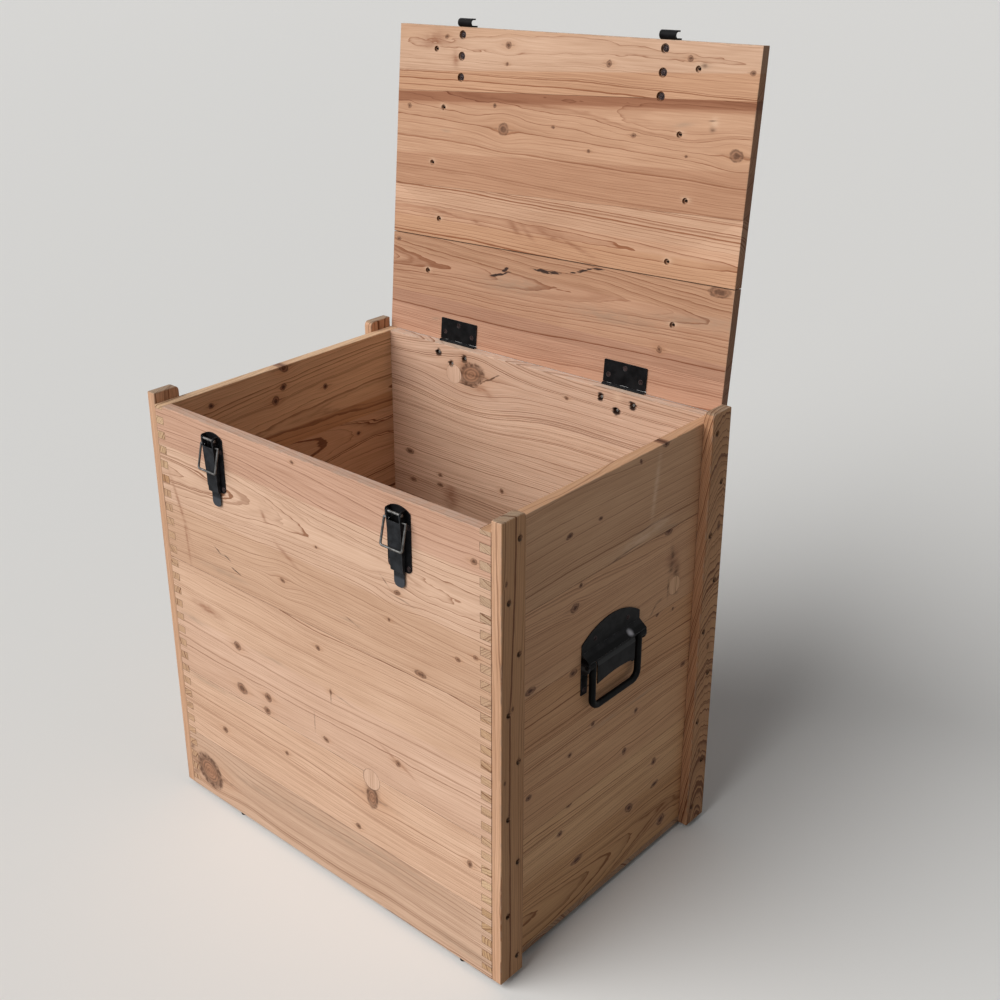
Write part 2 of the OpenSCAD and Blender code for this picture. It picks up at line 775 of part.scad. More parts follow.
module keeper(place) {
  color(black_steel) lid_frame() difference() {
    translate([latch_x[place] + keeper_w / 2, -lid_edge - lid_l, lid_lift])
      rotate([90, 0, -90]) linear_extrude(keeper_w) keeper_profile();
    keeper_bolt_places(place) translate([0, 0, -cut])
      cylinder(h = keeper_t + 2 * cut, d = screw_d + 2 * hole_gap);
  }
}

// Bolt holes through the lid, each with a sunk hole for its nut on the underside
module keeper_bolt_cuts() {
  for (place = [0, 1]) keeper_bolt_places(place) {
    translate([0, 0, -lid_t - cut]) cylinder(h = lid_t + 2 * cut, d = screw_d + 2 * hole_gap);
    translate([0, 0, -lid_t - cut]) cylinder(h = bolt_sink + cut, d = nut_sink_d);
  }
}

bolt_under = 1;      // how far a keeper bolt's end stays inside the lid
nut_thread = 0.4;    // how much the nut's thread bites into the bolt

module keeper_bolts() {
  color(black_steel) lid_frame() for (place = [0, 1]) keeper_bolt_places(place) {
    translate([0, 0, keeper_t]) domed_head(screw_head_d, screw_head_h);
    translate([0, 0, bolt_under - lid_t]) cylinder(h = lid_t - bolt_under + keeper_t, d = screw_d);
    translate([0, 0, -lid_t + bolt_sink - nut_h]) nut(nut_w, nut_h, screw_d - nut_thread);
  }
}

// ---------------------------------------------------------------- draw latches

// Puts the children at the four screws of a latch's base plate
latch_screw_x = 15.3;
latch_screw_drop = [33, 86];

module latch_screw_places() {
  for (x = [-latch_screw_x, latch_screw_x], drop = latch_screw_drop)
    translate([x, latch_sheet, -drop]) rotate([-90, 0, 0]) children();
}

module latch_screw_shanks(extra) {
  for (x = latch_x) translate([x, 0, wall_h]) mirror([0, 1, 0]) latch_screw_places()
    translate([0, 0, -screw_l - extra * hole_gap])
      cylinder(h = screw_l + extra * cut, d = screw_d + 2 * hole_gap * extra);
}

latch_arch_r = 30;
latch_corner_r = 6;
ear_front = 2.3;     // how far an ear reaches in front of the lever's pin
ear_round = 2.6;

module latch_base_outline() {
  low = -latch_drop - latch_base_l;
  r = latch_corner_r;
  intersection() {
    union() {
      translate([-latch_base_w / 2, low + r]) square([latch_base_w, latch_base_l - r]);
      translate([r - latch_base_w / 2, low]) square([latch_base_w - 2 * r, latch_base_l]);
      for (x = [r - latch_base_w / 2, latch_base_w / 2 - r]) translate([x, low + r]) circle(r);
    }
    translate([0, -latch_drop - latch_arch_r]) union() {
      circle(latch_arch_r);
      translate([-latch_base_w / 2, -latch_base_l]) square([latch_base_w, latch_base_l]);
    }
  }
}

// Side view of an ear: x out of the wall, y over the lever's pin
module latch_ear_outline() {
  front = lever_pin_out + ear_front;
  translate([0, -ear_down]) square([front - ear_round, ear_up + ear_down]);
  translate([0, ear_round - ear_down]) square([front, ear_up + ear_down - 2 * ear_round]);
  for (y = [ear_round - ear_down, ear_up - ear_round]) translate([front - ear_round, y]) circle(ear_round);
}

module latch_base(place) {
  color(black_steel) latch_frame(place) difference() {
    union() {
      translate([0, latch_sheet, 0]) rotate([90, 0, 0]) linear_extrude(latch_sheet) latch_base_outline();
      for (side = [0, 1]) mirror([side, 0, 0]) translate([ear_in, 0, -lever_pin_drop])
        rotate([90, 0, 90]) linear_extrude(latch_sheet) latch_ear_outline();
    }
    translate([-latch_base_w, lever_pin_out, -lever_pin_drop]) rotate([0, 90, 0])
      cylinder(h = 2 * latch_base_w, d = lever_pin_d + 2 * running_fit);
    latch_screw_places() translate([0, 0, -latch_sheet - cut])
      cylinder(h = latch_sheet + 2 * cut, d = screw_d + 2 * hole_gap);
  }
}

module latch_pin(place) {
  pin_l = 2 * (ear_in + latch_sheet) + 2 * swing_gap;
  color(black_steel) latch_frame(place) translate([-pin_l / 2, lever_pin_out, -lever_pin_drop])
    rotate([0, 90, 0]) cylinder(h = pin_l, d = lever_pin_d);
}

// Side view of the lever: x is the distance from the wall, y the height from the rim
lever_window_drop = 27;
lever_top_out = 10;
lever_tip_out = 6.5;
lever_back = 2;
lever_hub_r = 3;
tab_sunk = 0.4;       // how far the thumb tab lies inside the lever's back
tab_root = 8;
tab_round = 7;

module lever_side() {
  translate([lever_pin_out, -lever_pin_drop]) circle(lever_hub_r);
  polygon([[lever_pin_out - lever_hub_r, -lever_pin_drop], [lever_back, -bail_drop],
           [lever_back, -lever_drop],
           [lever_tip_out, -lever_drop], [lever_top_out, -lever_window_drop],
           [lever_pin_out + lever_hub_r, -lever_pin_drop]]);
}

// Inside of the folded channel, which stops at the lever's face
module lever_hollow() {
  polygon([[-lever_w, 0], [-lever_w, -lever_drop - tab_l],
           [lever_tip_out - latch_sheet, -lever_drop - tab_l],
           [lever_tip_out - latch_sheet, -lever_drop],
           [lever_top_out - latch_sheet, -lever_window_drop],
           [lever_top_out + lever_hub_r, -lever_window_drop],
           [lever_top_out + lever_hub_r, 0]]);
}

// Front view of the lever's channel, narrower towards its lower end
module lever_front(inset) {
  top = lever_w / 2 - inset;
  tip = lever_tip_w / 2 - inset;
  polygon([[-top, 0], [-top, -lever_window_drop], [-tip, -lever_drop - tab_l],
           [tip, -lever_drop - tab_l], [top, -lever_window_drop], [top, 0]]);
}

module lever_channel() {
  difference() {
    intersection() {
      translate([-lever_w, 0, 0]) rotate([90, 0, 90]) linear_extrude(2 * lever_w) lever_side();
      translate([0, lever_w, 0]) rotate([90, 0, 0]) linear_extrude(2 * lever_w) lever_front(0);
    }
    intersection() {
      translate([-lever_w, 0, 0]) rotate([90, 0, 90]) linear_extrude(2 * lever_w) lever_hollow();
      translate([0, 2 * lever_w, 0]) rotate([90, 0, 0]) linear_extrude(4 * lever_w) lever_front(latch_sheet);
    }
  }
}

// Thumb tab: a rounded tongue whose wider root is welded between the channel's edges
module lever_tab() {
  translate([0, lever_back + latch_sheet - tab_sunk, -lever_drop - tab_l]) rotate([90, 0, 0]) {
    rounded_plate(tab_w, tab_l + tab_root, latch_sheet, tab_round);
    translate([-lever_tip_w / 2, tab_l + 1, 0]) cube([lever_tip_w, tab_root - 1, latch_sheet]);
  }
}

module latch_lever(place) {
  color(black_steel) latch_frame(place) difference() {
    union() {
      lever_channel();
      lever_tab();
    }
    translate([-lever_w, lever_pin_out, -lever_pin_drop]) rotate([0, 90, 0])
      cylinder(h = 2 * lever_w, d = lever_pin_d + 2 * running_fit);
    translate([-lever_w, bail_out, -bail_drop]) rotate([0, 90, 0])
      cylinder(h = 2 * lever_w, d = bail_wire + 2 * running_fit);
  }
}

// A quarter bend of rod in the XZ plane, from the -Z side of its centre round to the +X side
module quarter_bend(r, d) {
  rotate([90, 0, 0]) rotate([0, 0, -90]) rotate_extrude(angle = 90) translate([r, 0]) circle(d = d);
}

// A U of rod in the XZ plane that hangs from z = 0 with its bar at z = -drop
module hanging_u(width, drop, bend_r, d) {
  for (side = [0, 1]) mirror([side, 0, 0]) {
    translate([width / 2, 0, 0]) sphere(d = d);
    rod([width / 2, 0, 0], [width / 2, 0, bend_r - drop], d);
    translate([width / 2 - bend_r, 0, bend_r - drop]) quarter_bend(bend_r, d);
  }
  rod([bend_r - width / 2, 0, -drop], [width / 2 - bend_r, 0, -drop], d);
}

bail_end_l = 1.5;  // how far a bail's end stands inside the lever's cheek

module latch_bail(place) {
  end = lever_w / 2 - latch_sheet - bail_end_l;
  color(black_steel) latch_frame(place) translate([0, bail_out, -bail_drop]) rotate([bail_rest, 0, 0]) {
    hanging_u(bail_w, bail_l, bail_bend_r, bail_wire);
    for (side = [0, 1]) mirror([side, 0, 0]) rod([end, 0, 0], [bail_w / 2, 0, 0], bail_wire);
  }
}

module latch_screws() {
  color(black_steel) for (place = [0, 1]) latch_frame(place) latch_screw_places() {
    domed_head(screw_head_d, screw_head_h);
    translate([0, 0, -screw_l]) cylinder(h = screw_l, d = screw_d);
  }
}

// ---------------------------------------------------------------- drop handles

// Screw places on the back plate: along the wall, and over the pivot
plate_screw_up = [34, 28];
plate_screw_low = [54, -36];
handle_screw_places = [[-plate_screw_up[0], plate_screw_up[1]], plate_screw_up,
                       [-plate_screw_low[0], plate_screw_low[1]], plate_screw_low];

module handle_screw_shanks(extra) {
  translate([body_w / 2 + plate_t, handle_y, handle_z]) for (p = handle_screw_places)
    translate([0, p[0], p[1]]) rotate([0, 90, 0]) translate([0, 0, -screw_l - extra * hole_gap])
      cylinder(h = screw_l + extra * cut, d = screw_d + 2 * hole_gap * extra);
}

plate_edge = 6;      // how far the plate reaches under the pivot between its legs
apron_rise = 4;      // rise of the curve in the apron's lower edge
apron_curve_r = 195;
hood_root = 16;      // height over the pivot at which the pressed hood leaves the plate
hood_out = 13;       // distance of the hood's lip from the side wall
hood_lip = 5.2;      // height of the lip's lower edge over the pivot
hood_edge = 1.8;     // height of the lip
groove_in = 1.8;     // depth and height of the groove between the hood and the apron
groove_z = 1.5;
shoulder_z = -4.5;   // height of the apron's shoulder over the pivot
rod_proud = 1;       // how far the rod's ends stand out of the ears

// Outline of the flat back plate: x along the wall, y over the pivot
module plate_outline() {
  gap_w = handle_w - 2 * plate_leg_w;
  difference() {
    intersection() {
      translate([-handle_w / 2, -plate_leg]) square([handle_w, plate_leg + plate_top]);
      translate([0, plate_top - plate_arch_r]) circle(plate_arch_r, $fn = 96);
    }
    translate([-gap_w / 2, -plate_leg - cut]) square([gap_w, plate_leg + cut - plate_edge]);
  }
}

// Side view of the hood that covers the rod's ends: x out of the wall, y over the pivot
module hood_side() {
  polygon([[0, hood_root], [plate_t, hood_root], [hood_out, hood_lip + hood_edge], [hood_out, hood_lip],
           [hood_out - plate_t, hood_lip], [hood_out - plate_t, hood_lip + hood_edge - plate_t / 2],
           [plate_t, hood_root - 1.5 * plate_t], [0, hood_root - 1.5 * plate_t]]);
}

// Side view of the apron that hangs from the middle of the hood
module apron_side() {
  groove = apron_out - groove_in;
  top = hood_lip + plate_t / 3;
  polygon([[hood_out, top], [hood_out, hood_lip], [groove, groove_z], [apron_out, shoulder_z],
           [apron_out, -apron_drop], [apron_out - plate_t, -apron_drop], [apron_out - plate_t, shoulder_z],
           [groove - plate_t, groove_z], [hood_out - plate_t, hood_lip], [hood_out - plate_t, top]]);
}

// Side view of an ear, which closes the end of the hood
module handle_ear_side() {
  intersection() {
    translate([plate_t, 0]) circle(handle_ear_r);
    translate([0, -handle_ear_r]) square([handle_ear_r + plate_t, 2 * handle_ear_r]);
  }
  polygon([[0, 0], [0, hood_root], [plate_t, hood_root], [hood_out, hood_lip + hood_edge],
           [hood_out, hood_lip], [plate_t + handle_ear_r, 0]]);
}

// The apron with its lower edge curved up in the middle
module apron() {
  difference() {
    translate([0, apron_w / 2, 0]) rotate([90, 0, 0]) linear_extrude(apron_w) apron_side();
    translate([-cut, 0, apron_rise - apron_drop - apron_curve_r]) rotate([0, 90, 0])
      cylinder(h = apron_out + 2 * cut, r = apron_curve_r, $fn = 96);
  }
}

module handle_plate(side) {
  color(black_steel) handle_frame(side) difference() {
    union() {
      rotate([90, 0, 90]) linear_extrude(plate_t) plate_outline();
      apron();
      translate([0, handle_w / 2, 0]) rotate([90, 0, 0]) linear_extrude(handle_w) hood_side();
      for (y = [plate_t - handle_w / 2, handle_w / 2]) translate([0, y, 0])
        rotate([90, 0, 0]) linear_extrude(plate_t) handle_ear_side();
    }
    for (turn = [0, 1]) mirror([0, turn, 0]) translate([rod_out, handle_ear_in - cut, 0])
      rotate([-90, 0, 0]) cylinder(h = plate_t + 2 * cut, d = rod_end_d + 2 * running_fit);
    for (p = handle_screw_places) translate([-cut, p[0], p[1]]) rotate([0, 90, 0])
      cylinder(h = plate_t + 2 * cut, d = screw_d + 2 * hole_gap);
  }
}

module handle_bail(side) {
  leg = rod_spacing / 2;
  shoulder = handle_ear_in - swing_gap;
  color(black_steel) handle_frame(side) translate([rod_out, 0, 0]) {
    rotate([0, 0, 90]) hanging_u(rod_spacing, grip_drop, grip_bend_r, rod_d);
    for (turn = [0, 1]) mirror([0, turn, 0]) {
      rod([0, leg, 0], [0, shoulder, 0], rod_d);
      rod([0, shoulder, 0], [0, handle_w / 2 + rod_proud, 0], rod_end_d);
    }
  }
}

module handle_screws() {
  color(black_steel) for (side = [0, 1]) handle_frame(side) for (p = handle_screw_places)
    translate([plate_t, p[0], p[1]]) rotate([0, 90, 0]) {
      domed_head(screw_head_d, screw_head_h);
      translate([0, 0, -screw_l]) cylinder(h = screw_l, d = screw_d);
    }
}

// ---------------------------------------------------------------- the nodes

front_board(0);  // front_board_bottom
front_board(1);  // front_board_lower
front_board(2);  // front_board_upper
front_board(3);  // front_board_top
back_board(0);  // back_board_bottom
back_board(1);  // back_board_lower
back_board(2);  // back_board_upper
back_board(3);  // back_board_top
side_board(0, 0);  // left_board_bottom
side_board(0, 1);  // left_board_lower
side_board(0, 2);  // left_board_upper
side_board(0, 3);  // left_board_top
side_board(1, 0);  // right_board_bottom
side_board(1, 1);  // right_board_lower
side_board(1, 2);  // right_board_upper
side_board(1, 3);  // right_board_top
floor_board(0);  // floor_board_front
floor_board(1);  // floor_board_middle
floor_board(2);  // floor_board_back
post(0, 0);  // post_front_left
post(1, 0);  // post_front_right
post(0, 1);  // post_back_left
post(1, 1);  // post_back_right
post_nails();
glides();
wood_plugs();
lid_board(0);  // lid_board_hinge
lid_board(1);  // lid_board_second
lid_board(2);  // lid_board_third
lid_board(3);  // lid_board_front
batten(0);  // lid_batten_left
batten(1);  // lid_batten_right
lid_nails();
hinge_wall_leaf(0);  // left_hinge_wall_leaf
hinge_lid_leaf(0);  // left_hinge_lid_leaf
hinge_pin(0);  // left_hinge_pin
hinge_wall_leaf(1);  // right_hinge_wall_leaf
hinge_lid_leaf(1);  // right_hinge_lid_leaf
hinge_pin(1);  // right_hinge_pin
hinge_wall_bolts();
hinge_lid_screws();
keeper(0);  // left_keeper
keeper(1);  // right_keeper
keeper_bolts();
latch_base(0);  // left_latch_base
latch_lever(0);  // left_latch_lever
latch_pin(0);  // left_latch_pin
latch_bail(0);  // left_latch_bail
latch_base(1);  // right_latch_base
latch_lever(1);  // right_latch_lever
latch_pin(1);  // right_latch_pin
latch_bail(1);  // right_latch_bail
latch_screws();
handle_plate(0);  // left_handle_plate
handle_bail(0);  // left_handle_bail
handle_plate(1);  // right_handle_plate
handle_bail(1);  // right_handle_bail
handle_screws();
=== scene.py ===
# %% [markdown]
# # A softwood chest with draw latches
# This lesson gives a packed construction model its looks. The construction model already holds
# every board, nail, hinge and latch in its true place and size, in metres. Here the boards get
# softened edges and a wood that grows through their whole thickness, and the ironwork gets its
# worn black lacquer. Nothing is moved: each piece is made where the construction model says.

# %% Load the chest
import json
import math

import bmesh
import bpy
from mathutils import Matrix, Vector


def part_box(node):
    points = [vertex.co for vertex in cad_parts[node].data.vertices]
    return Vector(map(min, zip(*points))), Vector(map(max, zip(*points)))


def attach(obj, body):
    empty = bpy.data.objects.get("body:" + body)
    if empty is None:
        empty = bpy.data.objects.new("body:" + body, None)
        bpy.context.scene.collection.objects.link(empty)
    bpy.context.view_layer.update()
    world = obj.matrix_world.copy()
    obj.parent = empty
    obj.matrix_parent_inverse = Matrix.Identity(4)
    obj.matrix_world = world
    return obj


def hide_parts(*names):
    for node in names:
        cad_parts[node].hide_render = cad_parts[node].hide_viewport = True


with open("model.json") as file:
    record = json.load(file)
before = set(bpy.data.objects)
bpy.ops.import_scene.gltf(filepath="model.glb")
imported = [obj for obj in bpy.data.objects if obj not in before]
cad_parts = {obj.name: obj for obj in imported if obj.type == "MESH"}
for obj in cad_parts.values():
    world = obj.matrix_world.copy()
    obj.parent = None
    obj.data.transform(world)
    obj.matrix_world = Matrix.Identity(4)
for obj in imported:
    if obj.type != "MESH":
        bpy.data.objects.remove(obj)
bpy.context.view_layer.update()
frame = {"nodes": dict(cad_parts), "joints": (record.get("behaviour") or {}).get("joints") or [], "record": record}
body_of_node = {n: b for b, members in frame["record"]["behaviour"]["bodies"].items() for n in members}
joints = {j["name"]: j for j in frame["joints"]}
MM = 0.001

# %% [markdown]
# ## The chest's own measures
# Wood is drawn in the chest's own directions: along the front, up from the bottom of the wood and
# into the depth. These come from the nodes' boxes, so the finish follows if a size changes.

# %% Measures
front_low, front_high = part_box("front_board_bottom")
rim_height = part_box("front_board_top")[1].z
wall_left, wall_right = front_low.x, front_high.x
front_face = front_low.y
back_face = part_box("back_board_bottom")[1].y
wood_bottom = front_low.z
wall_height = rim_height - wood_bottom
wall_thick = front_high.y - front_face
lid_turn = math.radians(joints["lid_hinge"]["range_deg"][1])
hinge_pin = Vector(joints["lid_hinge"]["pos_m"])
print("walls are", round(wall_height, 3), "m high and", round(wall_thick, 3), "m thick")

# %% [markdown]
# ## Camera
# The chest is seen from above its right front corner, as a person standing in the room sees it.
# The lens, the place and the small roll were worked out from the chest's straight edges.

# %% Camera
EYE = (1.13325, -1.22003, 1.25999)
LENS, SHIFT_X, SHIFT_Y = 47.98, 0.0875, -0.0459
azimuth, elevation, roll = (math.radians(a) for a in (44.42, 22.92, -1.54))
camera_data = bpy.data.cameras.new("camera")
camera = bpy.data.objects.new("camera", camera_data)
bpy.context.scene.collection.objects.link(camera)
bpy.context.scene.camera = camera
forward = Vector((-math.sin(azimuth) * math.cos(elevation), math.cos(azimuth) * math.cos(elevation),
                  -math.sin(elevation)))
level = Vector((math.cos(azimuth), math.sin(azimuth), 0))
upright = level.cross(forward)
side = level * math.cos(roll) + upright * math.sin(roll)
top = upright * math.cos(roll) - level * math.sin(roll)
turn = Matrix((side, top, -forward)).transposed().to_4x4()
camera.matrix_world = Matrix.Translation(EYE) @ turn
camera_data.lens, camera_data.shift_x, camera_data.shift_y = LENS, SHIFT_X, SHIFT_Y
camera_data.clip_start, camera_data.clip_end = 0.05, 200
print("camera looks along", [round(v, 3) for v in forward])

# %% [markdown]
# ## Wiring helpers
# A material is a chain of small sums. These helpers put down a node, set its numbers or link its
# inputs, and hand back the output, so that a recipe for wood reads like arithmetic.

# %% Wiring helpers
def put(tree, kind, values=(), **settings):
    """Puts a node down; values maps an input's name or place to a number, colour or link."""
    node = tree.nodes.new(kind)
    for name, value in settings.items():
        setattr(node, name, value)
    for key, value in dict(values).items():
        if isinstance(value, bpy.types.NodeSocket):
            tree.links.new(value, node.inputs[key])
        else:
            node.inputs[key].default_value = value
    return node


def calc(tree, operation, *values, clamp=False):
    """A sum of one to three numbers or links."""
    node = put(tree, "ShaderNodeMath", dict(enumerate(values)), operation=operation, use_clamp=clamp)
    return node.outputs[0]


def ease(tree, value, low, high, out_low=0.0, out_high=1.0):
    """Runs smoothly from out_low to out_high while value goes from low to high."""
    node = put(tree, "ShaderNodeMapRange", {0: value, 1: low, 2: high, 3: out_low, 4: out_high},
               interpolation_type="SMOOTHSTEP")
    return node.outputs[0]


def blend(tree, share, first, second, kind="MIX"):
    """Mixes two colours."""
    node = put(tree, "ShaderNodeMix", {0: share, 6: first, 7: second}, data_type="RGBA", blend_type=kind)
    return node.outputs[2]


def place(tree, x, y, z=0.0):
    return put(tree, "ShaderNodeCombineXYZ", {0: x, 1: y, 2: z}).outputs[0]


def noise(tree, where, scale=1.0, detail=2.0, rough=0.5):
    """Soft cloudy noise around 0.5; the node's colour holds three of them."""
    return put(tree, "ShaderNodeTexNoise", {"Vector": where, "Scale": scale, "Detail": detail,
                                            "Roughness": rough})


def dot(tree, vector, direction):
    """How far a vector reaches in a direction."""
    return put(tree, "ShaderNodeVectorMath", {0: vector, 1: direction},
               operation="DOT_PRODUCT").outputs["Value"]


def new_finish(name):
    """An empty material, with its node tree."""
    material = bpy.data.materials.new(name)
    material.use_nodes = True
    material.node_tree.nodes.clear()
    return material, material.node_tree


def group(name, inputs, outputs):
    """An empty node group with number inputs and outputs."""
    tree = bpy.data.node_groups.new(name, "ShaderNodeTree")
    for words, direction in ((inputs, "INPUT"), (outputs, "OUTPUT")):
        for word in words:
            tree.interface.new_socket(name=word, in_out=direction, socket_type="NodeSocketFloat")
    return tree, tree.nodes.new("NodeGroupInput").outputs, tree.nodes.new("NodeGroupOutput").inputs


def use(tree, made, values):
    """Puts down a node group and sets its inputs by name."""
    return put(tree, "ShaderNodeGroup", values, node_tree=made).outputs


print("helpers are ready")

# %% [markdown]
# The same few sums come back in every pattern: a noise counted from its middle, a distance from
# two sides, a soft round hill, and places seen along turned axes.

# %% Small sums
def centred(tree, value):
    """Noise counted from its middle, so that it pushes both ways."""
    return calc(tree, "SUBTRACT", value, 0.5)


def squares(tree, a, b):
    """The sum of two squares; its root is a distance."""
    return calc(tree, "ADD", calc(tree, "MULTIPLY", a, a), calc(tree, "MULTIPLY", b, b))


def hill(tree, a, b):
    """A soft round hill: 1 in the middle, and almost 0 where a or b reaches 2."""
    return calc(tree, "EXPONENT", calc(tree, "MULTIPLY", squares(tree, a, b), -1.0))


def turned(tree, along, across, turn):
    """A place seen from axes that are turned by an angle."""
    cosine, sine = calc(tree, "COSINE", turn), calc(tree, "SINE", turn)
    return (calc(tree, "ADD", calc(tree, "MULTIPLY", along, cosine), calc(tree, "MULTIPLY", across, sine)),
            calc(tree, "SUBTRACT", calc(tree, "MULTIPLY", across, cosine),
                 calc(tree, "MULTIPLY", along, sine)))


def seen_white(tree):
    """1 for rays from the camera, from mirrors and through glass, and 0 for the light itself."""
    path = put(tree, "ShaderNodeLightPath").outputs
    return calc(tree, "MAXIMUM", calc(tree, "MAXIMUM", path["Is Camera Ray"], path["Is Glossy Ray"]),
                path["Is Transmission Ray"])


print("small sums are ready")

# %% [markdown]
# ## How softwood grows
# A board is a slice of a trunk, so its figure is a slice of cones. Each year adds a ring that is
# pale in spring and ends in a thin dark summer line. The ring's number is the distance from the
# pith, the trunk's middle, which wanders along the board. Where the face cuts the rings flat, this
# gives arches and flames; at the board's ends it gives the arcs of end grain, without more work. Two
# ripples shake the radius a little, so that no line is drawn with a compass, and each year has a
# strength of its own.

# %% Growth rings
rings, given, told = group(
    "growth_rings", ("Along", "Across", "Deep", "Seed", "Pith across", "Pith deep", "Ring", "Sway", "Tilt"),
    ("Late", "Fibre", "Cloud"))


def along_grain(along, across, detail):
    """Noise stretched along the grain; the numbers tell how fine it is along and across."""
    return noise(rings, place(rings, calc(rings, "MULTIPLY_ADD", given["Along"], along, given["Seed"]),
                              calc(rings, "MULTIPLY", given["Across"], across),
                              calc(rings, "MULTIPLY", given["Deep"], across)), detail=detail)


wander = put(rings, "ShaderNodeSeparateColor", {0: along_grain(1.7, 7.0, 1.5).outputs["Color"]}).outputs
shift_across = calc(rings, "MULTIPLY", centred(rings, wander[0]), given["Sway"])
shift_deep = calc(rings, "MULTIPLY", centred(rings, wander[1]), given["Sway"])
from_pith = calc(rings, "ADD", calc(rings, "SUBTRACT", given["Across"], given["Pith across"]), shift_across)
pith_there = calc(rings, "MULTIPLY_ADD", given["Along"], given["Tilt"], given["Pith deep"])
under_pith = calc(rings, "ADD", pith_there, calc(rings, "ADD", given["Deep"], shift_deep))
radius = calc(rings, "SQRT", squares(rings, from_pith, under_pith))
for along, across, detail, depth in ((11.0, 55.0, 2.0, 3.5 * MM), (45.0, 190.0, 1.0, 1.1 * MM)):
    ripple = along_grain(along, across, detail).outputs[0]
    radius = calc(rings, "MULTIPLY_ADD", centred(rings, ripple), depth, radius)
seasons = put(rings, "ShaderNodeTexNoise", {"W": calc(rings, "MULTIPLY_ADD", radius, 90.0, given["Seed"]),
                                            "Detail": 1.0}, noise_dimensions="1D").outputs[0]
years = calc(rings, "MULTIPLY_ADD", seasons, 1.4, calc(rings, "DIVIDE", radius, given["Ring"]))
season = calc(rings, "FRACT", years)
rise = calc(rings, "MULTIPLY_ADD", calc(rings, "POWER", season, 7.0), 1.15,
            calc(rings, "MULTIPLY", season, 0.1))
summer = calc(rings, "MULTIPLY", rise, ease(rings, season, 1.0, 0.94))
strong = put(rings, "ShaderNodeTexWhiteNoise", {"W": calc(rings, "FLOOR", years)},
             noise_dimensions="1D").outputs[0]
late = calc(rings, "MULTIPLY", summer,
            calc(rings, "MULTIPLY_ADD", calc(rings, "POWER", strong, 2.2), 1.7, 0.35))
rings.links.new(late, told["Late"])
rings.links.new(along_grain(14.0, 520.0, 2.0).outputs[0], told["Fibre"])
rings.links.new(along_grain(3.5, 16.0, 3.0).outputs[0], told["Cloud"])
print("growth rings use", len(rings.nodes), "nodes")

# %% [markdown]
# ## Knots, stains and cracks
# A knot is a branch that the trunk grew round. It needs three things: a dark reddish oval with its
# own fine rings, a darker line of bark about it, and the boards' rings bending round it. Each knot
# gives a push that squeezes the rings aside, and the board adds up the pushes of all its knots.

# %% Knot
knot, given, told = group(
    "knot", ("Along", "Across", "At along", "At across", "Radius", "Long", "Turn", "Flow"),
    ("Push", "Core", "Bark", "Halo", "Pale"))
off_along = calc(knot, "SUBTRACT", given["Along"], given["At along"])
off_across = calc(knot, "SUBTRACT", given["Across"], given["At across"])
turned_along, turned_across = turned(knot, off_along, off_across, given["Turn"])
far_along = calc(knot, "DIVIDE", turned_along, calc(knot, "MULTIPLY", given["Radius"], given["Long"]))
far_across = calc(knot, "DIVIDE", turned_across, given["Radius"])
far = calc(knot, "SQRT", squares(knot, far_along, far_across))
rag = noise(knot, place(knot, given["Along"], given["Across"], given["At along"]), scale=190.0, detail=3.0)
ragged = calc(knot, "MINIMUM", calc(knot, "DIVIDE", 3.4 * MM, given["Radius"]), 0.9)
wobble = centred(knot, rag.outputs[0])
edge = calc(knot, "MULTIPLY_ADD", wobble, ragged, far)
reach = calc(knot, "MULTIPLY", given["Radius"], given["Flow"])
flow_along = calc(knot, "DIVIDE", off_along, calc(knot, "MULTIPLY", reach, 2.8))
flow_across = calc(knot, "DIVIDE", off_across, calc(knot, "MULTIPLY", reach, 1.7))
push = calc(knot, "MULTIPLY", calc(knot, "MULTIPLY", off_across, hill(knot, flow_along, flow_across)), 0.85)
ring_place = calc(knot, "MULTIPLY_ADD", edge, 0.3, calc(knot, "MULTIPLY", far, 0.7))
ring_turn = calc(knot, "DIVIDE", calc(knot, "MULTIPLY", ring_place, given["Radius"]), 0.7 * MM)
own_rings = calc(knot, "MULTIPLY_ADD", calc(knot, "SINE", ring_turn), 0.5, 0.5)
core = ease(knot, edge, 1.2, 0.5)
gaps = noise(knot, place(knot, given["Along"], given["Across"], given["At across"]), scale=130.0)
broken = ease(knot, gaps.outputs[0], 0.4, 0.6, 0.35, 1.0)
ring_of_bark = calc(knot, "MULTIPLY", ease(knot, edge, 0.6, 0.92), ease(knot, edge, 1.25, 0.95))
stronger = calc(knot, "MULTIPLY", broken, ease(knot, given["Radius"], 8 * MM, 20 * MM, 0.75, 1.25))
bark = calc(knot, "MULTIPLY", ring_of_bark, stronger, clamp=True)
tail_along = calc(knot, "DIVIDE", off_along, calc(knot, "MULTIPLY", given["Radius"], 2.6))
tail_across = calc(knot, "DIVIDE", calc(knot, "MULTIPLY_ADD", wobble, 2.0 * MM, off_across),
                   calc(knot, "MULTIPLY_ADD", given["Radius"], 0.10, 0.4 * MM))
tail = hill(knot, tail_along, tail_across)
bark = calc(knot, "MAXIMUM", bark, calc(knot, "MULTIPLY", calc(knot, "MULTIPLY", tail, broken), 0.65))
halo = hill(knot, tail_along, calc(knot, "DIVIDE", off_across, calc(knot, "MULTIPLY", given["Radius"], 1.3)))
pale = calc(knot, "MULTIPLY_ADD", own_rings, 0.55, calc(knot, "MULTIPLY", ease(knot, edge, 0.85, 0.1), 0.45))
small = calc(knot, "MULTIPLY", ease(knot, edge, 0.3, 0.7), 0.75)
big = calc(knot, "MULTIPLY", pale, ease(knot, given["Radius"], 5 * MM, 16 * MM, 0.0, 1.25))
small = calc(knot, "MULTIPLY", small, ease(knot, given["Radius"], 14 * MM, 6 * MM))
pale = calc(knot, "ADD", big, small)
pale = calc(knot, "MULTIPLY_ADD", wobble, 0.9, pale, clamp=True)
